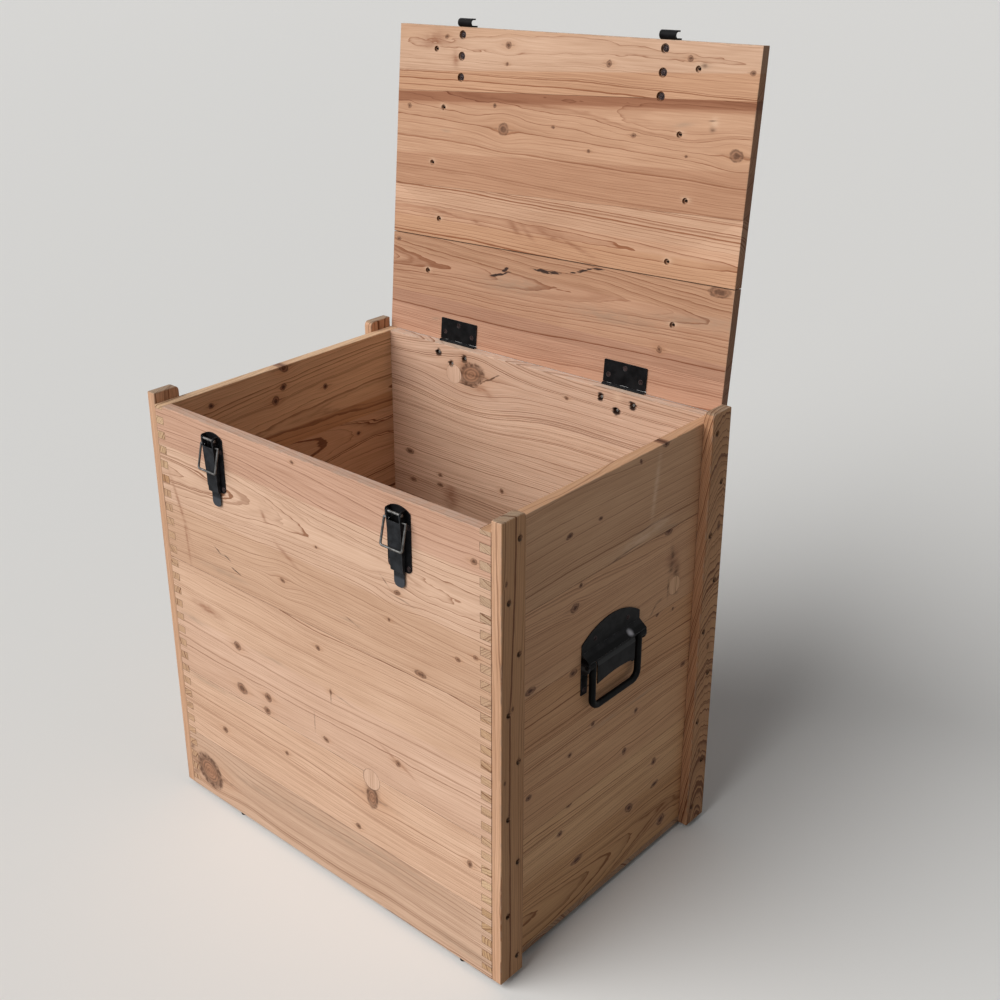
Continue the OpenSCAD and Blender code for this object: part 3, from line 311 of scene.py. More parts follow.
for word, value in (("Push", push), ("Core", core), ("Bark", bark), ("Halo", halo), ("Pale", pale)):
    knot.links.new(value, told[word])
print("a knot uses", len(knot.nodes), "nodes")

# %% [markdown]
# A stain is a soft patch with a ragged edge: water that stood against a board, rust that ran from
# a nail along the grain, or resin. A crack is the same patch made very narrow and much darker.

# %% Stain
stain, given, told = group(
    "stain", ("Along", "Across", "At along", "At across", "Half length", "Half width", "Turn", "Ragged"),
    ("Share",))
off_along = calc(stain, "SUBTRACT", given["Along"], given["At along"])
off_across = calc(stain, "SUBTRACT", given["Across"], given["At across"])
grit = noise(stain, place(stain, calc(stain, "MULTIPLY", given["Along"], 60.0),
                          calc(stain, "MULTIPLY", given["Across"], 260.0), given["At along"]), detail=3.0)
bend = noise(stain, place(stain, calc(stain, "MULTIPLY", given["Along"], 28.0), given["At across"]))
off_across = calc(stain, "MULTIPLY_ADD", centred(stain, bend.outputs[0]),
                  calc(stain, "MULTIPLY", given["Ragged"], 12 * MM), off_across)
turned_along, turned_across = turned(stain, off_along, off_across, given["Turn"])
share = hill(stain, calc(stain, "DIVIDE", turned_along, given["Half length"]),
             calc(stain, "DIVIDE", turned_across, given["Half width"]))
share = calc(stain, "MULTIPLY", share, ease(stain, grit.outputs[0], 0.3, 0.62, 0.35, 1.0))
stain.links.new(share, told["Share"])
print("a stain uses", len(stain.nodes), "nodes")

# %% [markdown]
# ## Tones of wood
# All tones are linear. Spring wood is the pale ground and summer wood the thin dark lines. The rest
# are what time adds: knots and bark, grey handling, soot, rust, splits, and sun-bleached patches.

# %% Tones
SPRING = (0.675, 0.440, 0.303, 1)
SUMMER = (0.300, 0.140, 0.075, 1)
KNOT_PALE = (0.380, 0.190, 0.110, 1)
KNOT_DARK = (0.085, 0.036, 0.020, 1)
BARK = (0.095, 0.042, 0.024, 1)
HALO = (0.520, 0.280, 0.160, 1)
GREY = (0.345, 0.240, 0.168, 1)
SOOTY = (0.095, 0.045, 0.026, 1)
RUST = (0.300, 0.130, 0.070, 1)
SPLIT = (0.040, 0.020, 0.014, 1)
BLEACHED = (0.760, 0.540, 0.380, 1)
GROOVE = (0.120, 0.058, 0.034, 1)
KNOT_CORE = 0.78  # a knot's dark core is this much of the radius that is given for it
print("spring to summer is", round(SPRING[0] / SUMMER[0], 2), "to 1 in red")


def toned(tree, share, colour, tone):
    """Multiplies a colour by a tone, as far as share says."""
    return blend(tree, share, colour, blend(tree, 1.0, colour, (*tone, 1), "MULTIPLY"))


# %% [markdown]
# ## What marks a board
# Each helper adds one kind of mark to a board's colour: its knots, the tones of the strips that it is glued from,
# and patches; on the back wall's top board and the back right post, strips also paint light and shade. Places on a
# board are in millimetres along and across it.

# %% Marks
def grow_knots(tree, u, v, knots):
    """Puts the knots down. Gives v with the rings pushed aside, and the shares of core, bark, halo and
    pale inner wood. A knot is (along, across, radius[, long, turn, flow])."""
    pushed, shares = v, dict(Core=0.0, Bark=0.0, Halo=0.0, Pale=0.0)
    for k in knots:
        at_u, at_v, r, long, turn_by, flow = (*k, *(1.25, 0.0, 1.0)[len(k) - 3:])
        made = use(tree, knot, {"Along": u, "Across": v, "At along": at_u * MM, "At across": at_v * MM,
                                "Radius": r * KNOT_CORE * MM, "Long": long, "Turn": math.radians(turn_by),
                                "Flow": flow})
        pushed = calc(tree, "SUBTRACT", pushed, made["Push"])
        for word in ("Core", "Bark", "Halo"):
            shares[word] = calc(tree, "MAXIMUM", shares[word], made[word])
        pale_here = calc(tree, "MULTIPLY", made["Core"], made["Pale"])
        shares["Pale"] = calc(tree, "MAXIMUM", shares["Pale"], pale_here)
    return pushed, shares


def glue_and_painted_light_strips(tree, colour, u, v, strips, width, slant):
    """Tones the strips: a board's glued strips, and on two boards bands of painted light and shade. strips are
    (height in mm, tone) steps across; slant tilts their joints.
    """
    if len(strips) == 1:
        return blend(tree, 1.0, colour, (*strips[0][1], 1), "MULTIPLY")
    level_line = calc(tree, "MULTIPLY_ADD", u, -slant, v)
    ramp = put(tree, "ShaderNodeValToRGB", {0: calc(tree, "DIVIDE", level_line, width)})
    bar = ramp.color_ramp.elements
    bar[0].position, bar[0].color = 0.0, (*strips[0][1], 1)
    bar[1].position, bar[1].color = 1.0, (*strips[-1][1], 1)
    for (_, before), (height, tone) in zip(strips, strips[1:]):
        for nudge, shade in ((-0.4, before), (0.4, tone)):
            bar.new(min(1.0, max(0.0, (height + nudge) * MM / width))).color = (*shade, 1)
    return blend(tree, 1.0, colour, ramp.outputs[0], "MULTIPLY")


def add_patches(tree, colour, u, v, patches, tint, power, ragged_too, crisp=False):
    """Tints patches. A patch is (along, across, half length, half width[, turn, ragged])."""
    total = 0.0
    for p in patches:
        at_u, at_v, half_l, half_w, turn_by, ragged = (*p, *(0.0, 1.0)[len(p) - 4:])
        made = use(tree, stain, {"Along": u, "Across": v, "At along": at_u * MM, "At across": at_v * MM,
                                 "Half length": half_l * MM, "Half width": half_w * MM,
                                 "Turn": math.radians(turn_by), "Ragged": ragged if ragged_too else 0.25})
        total = calc(tree, "MAXIMUM", total, made["Share"])
    if not patches:
        return colour
    if crisp:
        total = ease(tree, total, 0.3, 0.6)
    return blend(tree, calc(tree, "MULTIPLY", total, power), colour, tint)


def weather(tree, colour, normal, where, top_tone):
    """Dust on what faces up, grey on worn edges and dirt in the grooves."""
    upward = put(tree, "ShaderNodeSeparateXYZ", {0: normal}).outputs[2]
    scuff = noise(tree, where, scale=90.0, detail=3.0).outputs[0]
    dusty = calc(tree, "MULTIPLY", ease(tree, upward, 0.6, 0.9), ease(tree, scuff, 0.35, 0.6, 0.4, 1.0))
    colour = toned(tree, dusty, colour, top_tone)
    mark = put(tree, "ShaderNodeAttribute", attribute_name="edge").outputs["Fac"]
    scuffed = calc(tree, "MULTIPLY", ease(tree, mark, 0.4, 0.6), ease(tree, scuff, 0.42, 0.62))
    colour = blend(tree, calc(tree, "MULTIPLY", scuffed, 0.45), colour, GREY)
    dirt = calc(tree, "MULTIPLY", ease(tree, mark, -0.4, -0.6), ease(tree, scuff, 0.25, 0.7, 0.45, 0.85))
    return blend(tree, dirt, colour, GROOVE)


print("marks: knots, strips, patches and wear")

# %% Bare wood
def bare_wood(tree, grown, end, figure, spring, summer):
    """The colour of clean wood: spring and summer tones with soft clouds and fine fibres."""
    strength = calc(tree, "MULTIPLY_ADD", end, 0.7, 1.8 * figure)
    colour = blend(tree, calc(tree, "MULTIPLY", grown["Late"], strength, clamp=True), spring, summer)
    lift = calc(tree, "ADD", calc(tree, "MULTIPLY_ADD", grown["Cloud"], 0.46, 0.78),
                calc(tree, "MULTIPLY_ADD", grown["Fibre"], 0.62, -0.31))
    warmer = place(tree, calc(tree, "POWER", lift, 0.75), lift, calc(tree, "POWER", lift, 1.2))
    return blend(tree, 1.0, colour, warmer, "MULTIPLY")


def show_knots(tree, colour, shares, power):
    """Lays the halo, the core and the bark of all knots over the wood."""
    colour = blend(tree, calc(tree, "MULTIPLY", shares["Halo"], 0.55), colour, HALO)
    inside = blend(tree, shares["Pale"], KNOT_DARK, KNOT_PALE)
    colour = blend(tree, calc(tree, "MULTIPLY", shares["Core"], power), colour, inside)
    return blend(tree, calc(tree, "MULTIPLY", shares["Bark"], power), colour, BARK)


print("bare wood: two tones, clouds and fibres")

# %% [markdown]
# ## A board's finish
# One recipe makes the finish of every board. It is told which way the grain runs, where the pith
# lies, how wide the rings are, and what marks the board bears. Bare planed wood is almost matt:
# rough, with a very weak mirror. A board can bear about twenty knots and patches; far more of them
# are too much for the renderer, which then draws the board black.

# %% Pine recipe
def pine(name, along, across, deep, start, seed=0.0, pith=(0.0, 0.09), ring=0.0035, sway=0.03, tilt=0.0,
         strips=((0.0, (1, 1, 1)),), width=0.6, slant=0.0, knots=(), pales=(), greys=(), rusts=(), darks=(),
         cracks=(), figure=1.0, spring=SPRING, summer=SUMMER, end_tone=(0.80, 0.80, 0.77),
         top_tone=(0.97, 1.11, 1.23), shaded_face_tone=(1, 1, 1), knot_power=0.85):
    """A softwood finish. along, across and deep are directions, and start is where they count from."""
    material, tree = new_finish(name)
    spot = put(tree, "ShaderNodeTexCoord").outputs
    counted = put(tree, "ShaderNodeVectorMath", {0: spot["Object"], 1: start}, operation="SUBTRACT")
    u, v, w = (dot(tree, counted.outputs[0], direction) for direction in (along, across, deep))
    pushed, shares = grow_knots(tree, u, v, knots)
    grown = use(tree, rings, {"Along": u, "Across": pushed, "Deep": w, "Seed": seed,
                              "Pith across": pith[0], "Pith deep": pith[1], "Ring": ring, "Sway": sway,
                              "Tilt": tilt})
    end = ease(tree, calc(tree, "ABSOLUTE", dot(tree, spot["Normal"], along)), 0.6, 0.8)
    colour = bare_wood(tree, grown, end, figure, spring, summer)
    colour = glue_and_painted_light_strips(tree, colour, u, v, strips, width, slant)
    for patches, tint, power, ragged_too in (
            (pales, BLEACHED, 0.6, False), (greys, GREY, 0.5, False), (rusts, RUST, 0.8, True),
            (darks, SOOTY, 0.8, True), (cracks, SPLIT, 1.0, True)):
        colour = add_patches(tree, colour, u, v, patches, tint, power, ragged_too, crisp=tint is SPLIT)
    height = calc(tree, "MULTIPLY_ADD", grown["Fibre"], 0.45, calc(tree, "MULTIPLY", grown["Late"], 0.5))
    if knots:
        colour = show_knots(tree, colour, shares, knot_power)
        height = calc(tree, "MULTIPLY_ADD", shares["Bark"], -0.8, height)
    colour = toned(tree, end, colour, end_tone)
    # Faces turned against the deep direction take the face tone: painted shade, used for the posts' outer sides
    # and the right wall's plug.
    if shaded_face_tone != (1, 1, 1):
        shaded_face = ease(tree, dot(tree, spot["Normal"], deep), -0.6, -0.85)
        colour = toned(tree, shaded_face, colour, shaded_face_tone)
    colour = weather(tree, colour, spot["Normal"], spot["Object"], top_tone)
    shader = put(tree, "ShaderNodeBsdfPrincipled", {
        "Base Color": colour, "Specular IOR Level": 0.18,
        "Roughness": calc(tree, "MULTIPLY_ADD", grown["Fibre"], 0.25, 0.5),
        "Normal": put(tree, "ShaderNodeBump", {"Strength": 0.55, "Distance": 0.5 * MM,
                                               "Height": height}).outputs[0]})
    put(tree, "ShaderNodeOutputMaterial", {0: shader.outputs[0]})
    return material


print("the pine recipe is ready")

# %% [markdown]
# ## Softened boards
# Sawn and planed boards never keep knife-sharp edges; a hand and a plane take about a millimetre
# off. Each board is copied from the construction model, its triangles are merged back into clean
# faces, and its long outer edges are bevelled. At the glued joints and the finger joints a hair's
# breadth is taken off, which leaves the fine dark lines that real joints show. The new faces carry a
# number called edge, so that the finish knows where to wear the wood and where to let dirt sit.

# %% Softened copy
MERGE = 0.001 * MM        # points nearer than this are one point
NEAR = 0.1 * MM           # and points nearer than this lie on one plane
SHARP = math.radians(40)  # only edges sharper than this are rounded


def clean_mesh(name):
    """A node's mesh with its doubled points merged, as a mesh to work on."""
    work = bmesh.new()
    work.from_mesh(frame["nodes"][name].data)
    bmesh.ops.remove_doubles(work, verts=work.verts, dist=MERGE)
    return work


def softened(name, *rounds, steps=3, kind="wood_", clamp=False):
    """A copy of a node with picked edges rounded. Each round is (pick, width, mark): pick tells by an
    edge's two ends whether it is taken; mark is 1 for a worn edge and -1 for a groove that holds dirt."""
    work = clean_mesh(name)
    bmesh.ops.dissolve_limit(work, angle_limit=math.radians(1), verts=work.verts, edges=work.edges)
    layer = work.faces.layers.float.new("edge")
    for pick, width, mark in rounds:
        sharp = [e for e in work.edges if len(e.link_faces) == 2 and e.calc_face_angle(0) > SHARP
                 and pick(e.verts[0].co, e.verts[1].co)]
        if sharp:
            made = bmesh.ops.bevel(work, geom=sharp, offset=width, segments=steps if mark > 0 else 1,
                                   profile=0.5, affect="EDGES", clamp_overlap=clamp)
            for face in made["faces"]:
                face[layer] = mark
    mesh = bpy.data.meshes.new(name)
    work.to_mesh(mesh)
    work.free()
    mesh.shade_smooth()
    mesh.set_sharp_from_angle(angle=math.radians(35))
    piece = bpy.data.objects.new(kind + name, mesh)
    bpy.context.scene.collection.objects.link(piece)
    piece.modifiers.new("flat_faces", "WEIGHTED_NORMAL").keep_sharp = True
    return piece


def fit(piece, material, *nodes):
    """Puts a piece in the place of its nodes: same body, same slot, its own finish."""
    piece.data.materials.clear()
    piece.data.materials.append(material)
    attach(piece, body_of_node[nodes[0]])
    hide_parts(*nodes)


def parts_of(name, along, across, start):
    """The middles of a node's separate solids, as places in mm on a board: its nails, bolts or plugs.
    Each solid's points are put in order first, so that their sum is the same on every run."""
    work = clean_mesh(name)
    left_over, middles = set(work.verts), []
    while left_over:
        found, group_of = [left_over.pop()], []
        while found:
            vertex = found.pop()
            group_of.append(vertex.co.copy())
            for other in (e.other_vert(vertex) for e in vertex.link_edges):
                if other in left_over:
                    left_over.remove(other)
                    found.append(other)
        middle = sum(sorted(group_of, key=tuple), Vector()) / len(group_of) - Vector(start)
        middles.append(tuple(round(middle.dot(Vector(d)) / MM, 1) for d in (along, across)))
    work.free()
    return sorted(middles)


print("boards are softened where edges are sharper than", round(math.degrees(SHARP)), "degrees")

# %% [markdown]
# ## Front wall
# The front is glued from boards with very different figure: a greyer board at the bottom with one
# huge knot, a calm one where a plug sits over a dark knot, a plain wide one with scattered knots,
# and a lively one at the top with flames. The stencilled word of the real chest is left off; its
# place is bare wood. Every mark is told in millimetres from the wall's lower left corner.

# %% Front boards
front = dict(along=(1, 0, 0), across=(0, 0, 1), deep=(0, 1, 0),
             start=(wall_left, front_face, wood_bottom), width=wall_height)
front_boards = {
    "front_board_bottom": dict(
        seed=3.1, pith=(-0.075, 0.05), ring=0.0026, sway=0.06, tilt=0.02, figure=0.9,
        strips=((0, (0.86, 0.875, 0.89)),),
        knots=((43, 41, 30, 1.2, -38),),
        greys=((330, 74, 150, 7), (150, 64, 60, 4), (560, 20, 60, 8), (420, 88, 90, 3)),
        darks=((5, 68, 10, 4, 60), (6, 47, 12, 4, -40), (9, 24, 14, 4, 20))),
    "front_board_lower": dict(
        seed=11.7, pith=(0.36, 0.07), ring=0.0029, sway=0.05, tilt=0.01, figure=0.85,
        knots=((229, 162, 4), (565, 160, 6, 1.0, 60), (91, 137, 6), (368, 112, 5),
               (397, 173, 20, 0.62, 0, 0.5)),
        greys=((60, 203, 60, 4),), darks=((389, 181, 5, 9, 0, 0.1), (405, 181, 5, 9, 0, 0.1))),
    "front_board_upper": dict(
        seed=5.3, pith=(0.56, 0.11), ring=0.0028, sway=0.06, tilt=0.0, figure=0.5,
        strips=((0, (0.97, 0.97, 1.0)), (305, (0.95, 0.94, 0.93))),
        knots=((138, 296, 8, 1.1, -30), (197, 238, 8, 1.1, -35), (140, 228, 10, 1.3, -10),
               (193, 215, 7, 1.2, 0), (307, 361, 4.5), (327, 303, 4.5, 0.8, 0),
               (313, 223, 4.5, 1.4, -15), (447, 250, 6, 1.0, -60)),
        greys=((210, 304, 26, 3), (40, 302, 26, 5)),
        rusts=((75, 330, 28, 7, -8), (446, 252, 28, 2, -24)),
        darks=((327, 296, 9, 1.0, 90, 0.2), (347, 301, 16, 0.9, -8, 0.4), (292, 241, 12, 0.9, 90, 0.2))),
    "front_board_top": dict(
        seed=8.9, pith=(0.525, 0.035), ring=0.0034, sway=0.045, tilt=0.03, figure=0.85,
        strips=((0, (0.87, 0.84, 0.81)), (478, (0.98, 0.99, 1.01)), (564, (0.875, 0.81, 0.82))),
        knots=((490, 398, 5, 2.4, 0), (577, 456, 4), (575, 577, 5, 1.2, 20), (279, 612, 3),
               (455, 495, 4, 1.6, 20, 4.0), (440, 453, 3, 1.0, 0, 2.0), (245, 437, 4, 1.6, -10, 4.0),
               (315, 508, 2.4), (550, 443, 4)),
        greys=((120, 405, 50, 5), (120, 432, 16, 1.6), (372, 424, 20, 1.8)),
        cracks=((112, 436, 9, 1.0, -28, 0.2), (134, 430, 11, 0.9, -24, 0.2), (150, 416, 13, 1.0, -16, 0.2)),
        darks=((374, 425, 12, 1.0, -18, 0.4), (463, 487, 16, 1.0, -8, 0.6), (436, 503, 10, 0.9, -40, 0.5)),
        rusts=((34, 480, 40, 3, -70), (44, 430, 34, 2.5, -85), (216, 519, 8, 3, -60),
               (256, 477, 20, 3, -30)))}
print("marks on the front wall:", sum(len(told_of.get(kind, ())) for told_of in front_boards.values()
                                      for kind in ("knots", "greys", "rusts", "darks", "cracks")))

# %% [markdown]
# A modifier would round every sharp edge alike. Here each edge is picked by where its two ends lie:
# the rim and the lower edge are eased, and only the joints on the outer faces get a hairline.

# %% Front wall
EASED, HAIR = 1.1 * MM, 0.34 * MM


def both_on(a, b, axis, *levels):
    """Tells whether two points lie together on one of the planes across an axis."""
    return any(abs(a[axis] - level) < NEAR and abs(b[axis] - level) < NEAR for level in levels)


def wall_edges(a, b):
    """Picks the long edges of the rim and of the walls' lower side."""
    return (a - b).length > 80 * MM and both_on(a, b, 2, rim_height, wood_bottom)


def joint_edges(a, b):
    """Picks the edges of the glued joints and of the fingers, on the walls' front and back faces."""
    inside = wood_bottom + 2 * MM < min(a.z, b.z) and max(a.z, b.z) < rim_height - 1.5 * MM
    return inside and both_on(a, b, 1, front_face, back_face)


def side_joint_edges(a, b):
    """Picks the joints of the side walls: on their outer faces, and the ends of their fingers."""
    long_one = (a - b).length > 100 * MM and wood_bottom + 12 * MM < min(a.z, b.z) < rim_height - 1.5 * MM
    return (long_one and both_on(a, b, 0, wall_left, wall_right)) or joint_edges(a, b)


def build_boards(boards, common, *rounds):
    """Makes the boards of a wall or of the lid, each with its own pine."""
    for name, told_of in boards.items():
        fit(softened(name, *rounds), pine(name + "_pine", **common, **told_of), name)


wall_rounds = ((joint_edges, HAIR, -1), (wall_edges, EASED, 1))
build_boards(front_boards, front, *wall_rounds)
print("front wall boards:", len(front_boards))

# %% [markdown]
# ## Back wall
# Its inner face is seen. The rings run in long even waves, and sweep round a big swirling knot under
# the left hinge, which was drilled out and plugged long ago. The hinges' bolts come through the top
# board, and each has drawn a dark ring into the wood.

# %% Back wall
back = dict(front, start=(wall_left, back_face - wall_thick, wood_bottom))
back_boards = {
    "back_board_bottom": dict(seed=21.0, pith=(0.20, 0.10), ring=0.0032, figure=1.0),
    "back_board_lower": dict(seed=24.5, pith=(-0.05, 0.12), ring=0.0036, figure=1.0),
    "back_board_upper": dict(seed=27.2, pith=(0.72, 0.06), ring=0.0041, sway=0.03, figure=0.9,
                             knots=((58, 377, 4, 2.2, 0), (117, 384, 4, 2.0, 0)),
                             rusts=((140, 370, 14, 26),)),
    "back_board_top": dict(
        seed=30.3, pith=(0.80, 0.05), ring=0.0034, sway=0.03, figure=0.9,
        # Its strips are painted light: the lower part, where the front and left walls cast shadow, is lightened
        # most.
        strips=((0, (1.14, 1.18, 1.22)), (452, (1.05, 1.07, 1.10)), (540, (0.97, 0.98, 1.02))),
        knots=((184, 584, 21, 1.5, 20, 2.0), (244, 411, 5, 1.1, 60), (52, 425, 6, 1.8, 0), (363, 590, 3.5),
               (117, 401, 3.5, 1.6, 0)),
        pales=((449, 612, 6.5, 6.5),),
        rusts=((205, 565, 22, 5, -20), (170, 600, 10, 14)),
        cracks=((218, 583, 30, 1.6, 32), (176, 567, 22, 1.4, 2)))}
bolts = parts_of("hinge_wall_bolts", back["along"], back["across"], back["start"])
back_boards["back_board_top"]["cracks"] += tuple((u, v, 8.0, 8.0, 0, 0.1) for u, v in bolts)
build_boards(back_boards, back, *wall_rounds)
print("back wall boards:", len(back_boards), "with dark rings round the bolts at", bolts)

# %% [markdown]
# ## Side walls
# The end walls are a little darker and browner; on the right wall, which lies in shade, the browner tone is partly
# painted shade. The lowest board on the right has wide arches; a light, open glue joint runs under the top board.
# From the front, only the left wall's inner face is seen.

# %% Right wall
# The side tones are partly painted shade: browner than the front's, to match the warm shade on the right wall.
side_spring, side_summer = (0.560, 0.328, 0.188, 1), (0.240, 0.105, 0.050, 1)
right = dict(along=(0, 1, 0), across=(0, 0, 1), deep=(-1, 0, 0), width=wall_height,
             start=(wall_right, front_face, wood_bottom), spring=side_spring, summer=side_summer,
             end_tone=(0.90, 1.03, 1.18), knot_power=1.0, top_tone=(1.0, 1.02, 1.08))
side_rounds = ((side_joint_edges, HAIR, -1), (wall_edges, EASED, 1))
right_boards = {
    "right_board_bottom": dict(
        seed=41.2, pith=(0.035, 0.022), ring=0.0042, sway=0.07, tilt=0.03, figure=1.0,
        strips=((0, (1.03, 0.98, 0.84)), (105, (1.18, 1.19, 1.10))),
        knots=((366, 31, 9, 1.3, 20, 1.5), (285, 98, 8, 1.4, -25), (340, 144, 7, 1.0, 60),
               (345, 104, 5, 2.0, 10), (170, 81, 6, 2.6, 5), (132, 145, 5, 1.3, 0), (149, 180, 4, 1.8, 0))),
    "right_board_lower": dict(
        seed=44.8, pith=(0.52, 0.08), ring=0.0030, sway=0.06, figure=0.8,
        strips=((0, (1.11, 1.08, 1.02)), (300, (1.03, 0.96, 0.87))),
        knots=((152, 374, 6, 1.6, 0), (330, 379, 4), (366, 372, 3, 1.0, 60), (149, 256, 4, 1.4, 0),
               (291, 251, 5, 1.0, 60), (69, 237, 5, 1.4, 0), (399, 272, 5, 1.4, 0), (268, 199, 6, 1.0, 75),
               (196, 279, 4), (315, 388, 7, 2.2, 0)),
        greys=((225, 269, 26, 2.5), (300, 269, 34, 2.5), (198, 275, 6, 3))),
    "right_board_upper": dict(
        seed=47.1, pith=(0.24, 0.07), ring=0.0032, sway=0.06, figure=0.6,
        strips=((0, (1.05, 1.02, 1.0)),),
        knots=((346, 494, 8, 1.4, -10), (152, 464, 7, 1.4, 10), (163, 490, 3.5), (70, 388, 6, 2.0, 0)),
        rusts=((366, 440, 9, 22, 12), (355, 446, 10, 12)),
        darks=((359, 453, 4, 12, 12), (358, 437, 5, 11, -10), (369, 425, 6, 9, 15), (366, 396, 9, 3, -20),
               (352, 408, 2, 12, 0, 0.3), (321, 390, 9, 1.6, 40), (332, 396, 7, 1.4, 20))),
    "right_board_top": dict(
        seed=50.9, pith=(0.74, 0.07), ring=0.0030, sway=0.05, figure=0.55,
        knots=((139, 564, 4, 2.0, 10), (198, 565, 3, 2.0, -10), (330, 619, 6, 1.4, 0),
               (277, 612, 3, 1.6, -60)),
        pales=((312, 565, 4, 40, -8), (290, 507, 46, 7, 4), (320, 511, 24, 7, 0)),
        darks=((232, 496, 16, 1.3, 12, 0.6), (262, 499, 24, 0.9, 2, 0.4), (196, 488, 22, 1.0, 10, 0.8),
               (290, 516, 20, 0.8, 6, 0.4)),
        greys=((345, 498, 26, 4, -10),))}
build_boards(right_boards, right, *side_rounds)
print("right wall boards:", len(right_boards))

# %% Left wall
left = dict(right, start=(wall_left + wall_thick, front_face, wood_bottom), spring=(0.67, 0.42, 0.255, 1),
            end_tone=(0.80, 0.80, 0.80))
left_boards = {
    "left_board_bottom": dict(seed=61.5, pith=(0.03, 0.05), ring=0.0040, sway=0.06, figure=0.8),
    "left_board_lower": dict(seed=64.2, pith=(0.28, 0.14), ring=0.0036, sway=0.05, figure=0.6,
                             knots=((120, 300, 5), (310, 250, 6))),
    "left_board_upper": dict(seed=67.7, pith=(0.47, 0.06), ring=0.0040, sway=0.06, figure=0.7,
                             knots=((250, 440, 5), (360, 470, 4))),
    "left_board_top": dict(
        seed=70.4, pith=(0.53, 0.05), ring=0.0046, sway=0.05, tilt=-0.02, figure=0.8,
        strips=((0, (0.87, 0.79, 0.68)), (520, (1.10, 1.18, 1.18))),
        knots=((198, 571, 8, 1.1, 60), (214, 588, 6, 1.3, 20), (217, 617, 11, 0.7, 60),
               (296, 566, 6, 0.9, 60), (82, 597, 5)))}
build_boards(left_boards, left, *side_rounds)
print("left wall boards:", len(left_boards))

# %% [markdown]
# ## Bottom boards
# The chest's bottom is made of plain darker boards that show only from inside and as a line of end
# grain under the side walls.

# %% Bottom boards
for i, name in enumerate(("floor_board_front", "floor_board_middle", "floor_board_back")):
    low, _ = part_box(name)
    wood = pine(name + "_pine", (1, 0, 0), (0, 1, 0), (0, 0, 1), low, seed=80 + 3.7 * i, pith=(0.07, 0.05),
                ring=0.0042, strips=((0, (0.80, 0.76, 0.70)),),
                knots=((150 + 90 * i, 60, 7), (430 - 60 * i, 100, 5)))
    fit(softened(name, (lambda a, b: (a - b).length > 80 * MM, 0.5 * MM, 1)), wood, name)
    print(name, "starts at", [round(c, 3) for c in low])

# %% [markdown]
# ## Corner posts
# The posts stand over the finger joints. Their grain runs upright, and their corners are the most handled edges of
# the chest, so they are rounded more than the boards. Each nail sits in a dark mark. Their outer sides, and the
# narrow front face of the back right post, carry painted shade.

# %% Corner posts
POST_ROUND = 7 * MM
post_grain = {
    "post_front_right": dict(seed=90.1, pith=(-0.05, 0.05), ring=0.0034, sway=0.03, figure=1.1,
                             knots=((560, 8, 3, 1.3, 0), (395, 20, 3), (300, 6, 3))),
    # The back right post's dark first strip is painted shade on its narrow front face.
    "post_back_right": dict(seed=93.4, pith=(0.024, 0.012), ring=0.0024, sway=0.03, tilt=0.2, figure=1.7,
                            strips=((0, (0.80, 0.72, 0.63)), (2.5, (1, 1, 1))), width=0.06,
                            knots=((470, 30, 5, 1.8, 0), (290, 24, 4, 1.6, 0), (120, 20, 4))),
    "post_front_left": dict(seed=96.6, pith=(-0.03, 0.08), ring=0.0034, figure=1.1, knots=((500, 10, 3),)),
    "post_back_left": dict(seed=99.9, pith=(0.02, 0.03), ring=0.0034, figure=0.8)}
for name, told_of in post_grain.items():
    low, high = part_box(name)

    def post_edges(a, b):
        return all(min(abs(p.y - low.y), abs(p.y - high.y)) < NEAR or p.z < low.z + NEAR
                   or p.z > high.z - POST_ROUND - NEAR for p in (a, b))

    outer = 1 if high.x > 0 else -1
    start = (high.x if outer > 0 else low.x, low.y, low.z)
    all_nails = parts_of("post_nails", (0, 0, 1), (0, 1, 0), start)
    nails = sorted({(u, v) for u, v in all_nails if 0 < v < (high.y - low.y) / MM})
    # The face tone here is painted shade on each post's outer side.
    wood = pine(name + "_pine", (0, 0, 1), (0, 1, 0), (-outer, 0, 0), start,
                darks=tuple((u, v, 6.5, 2.2, 0, 0.1) for u, v in nails), spring=(0.580, 0.340, 0.210, 1),
                summer=(0.19, 0.08, 0.038, 1), end_tone=(0.66, 0.70, 0.70), shaded_face_tone=(0.79, 0.72, 0.58),
                **told_of)
    fit(softened(name, (post_edges, 1.6 * MM, 1)), wood, name)
    print(name, "has nails at the heights", sorted({u for u, v in nails}))

# %% [markdown]
# ## Lid
# The lid is glued from boards whose joints are not quite parallel, which is usual for old wide
# boards that were ripped along their own edges. The joint between the first two has opened. The
# lid stands open, so its directions are turned: out from the hinge, and through its thickness.

# %% Lid directions
lid_out = Vector((0, -math.cos(lid_turn), math.sin(lid_turn)))
lid_deep = Vector((0, math.sin(lid_turn), math.cos(lid_turn)))
lid_points = [v.co - hinge_pin for v in frame["nodes"]["lid_board_hinge"].data.vertices]
lid_near = min(p.dot(lid_out) for p in lid_points)
lid_under = min(p.dot(lid_deep) for p in lid_points)
FLUSH = 3.95 * MM  # the figure is counted from this far out from the lid's hinge edge
lid_start = (Vector((wall_left, hinge_pin.y, hinge_pin.z)) + lid_out * (lid_near + FLUSH)
             + lid_deep * lid_under)
lid_length = max((v.co - lid_start).dot(lid_out) for v in frame["nodes"]["lid_board_front"].data.vertices)
print("the lid reaches", round(lid_length, 4), "m from its hinge edge")


def lid_edges(a, b):
    """Picks the lid's outer edges and leaves the joints between its boards."""
    ends = [(p - lid_start).dot(lid_out) for p in (a, b)]
    across_end = abs(a.x - b.x) < NEAR and (a - b).length > 30 * MM
    outer = (a - b).length > 100 * MM and all(min(abs(e + FLUSH), abs(e - lid_length)) < NEAR for e in ends)
    return across_end or outer


def lid_joints(a, b):
    """Picks the long slanted edges between the lid's boards."""
    ends = [(p - lid_start).dot(lid_out) for p in (a, b)]
    return (a - b).length > 300 * MM and all(50 * MM < e < lid_length - 20 * MM for e in ends)
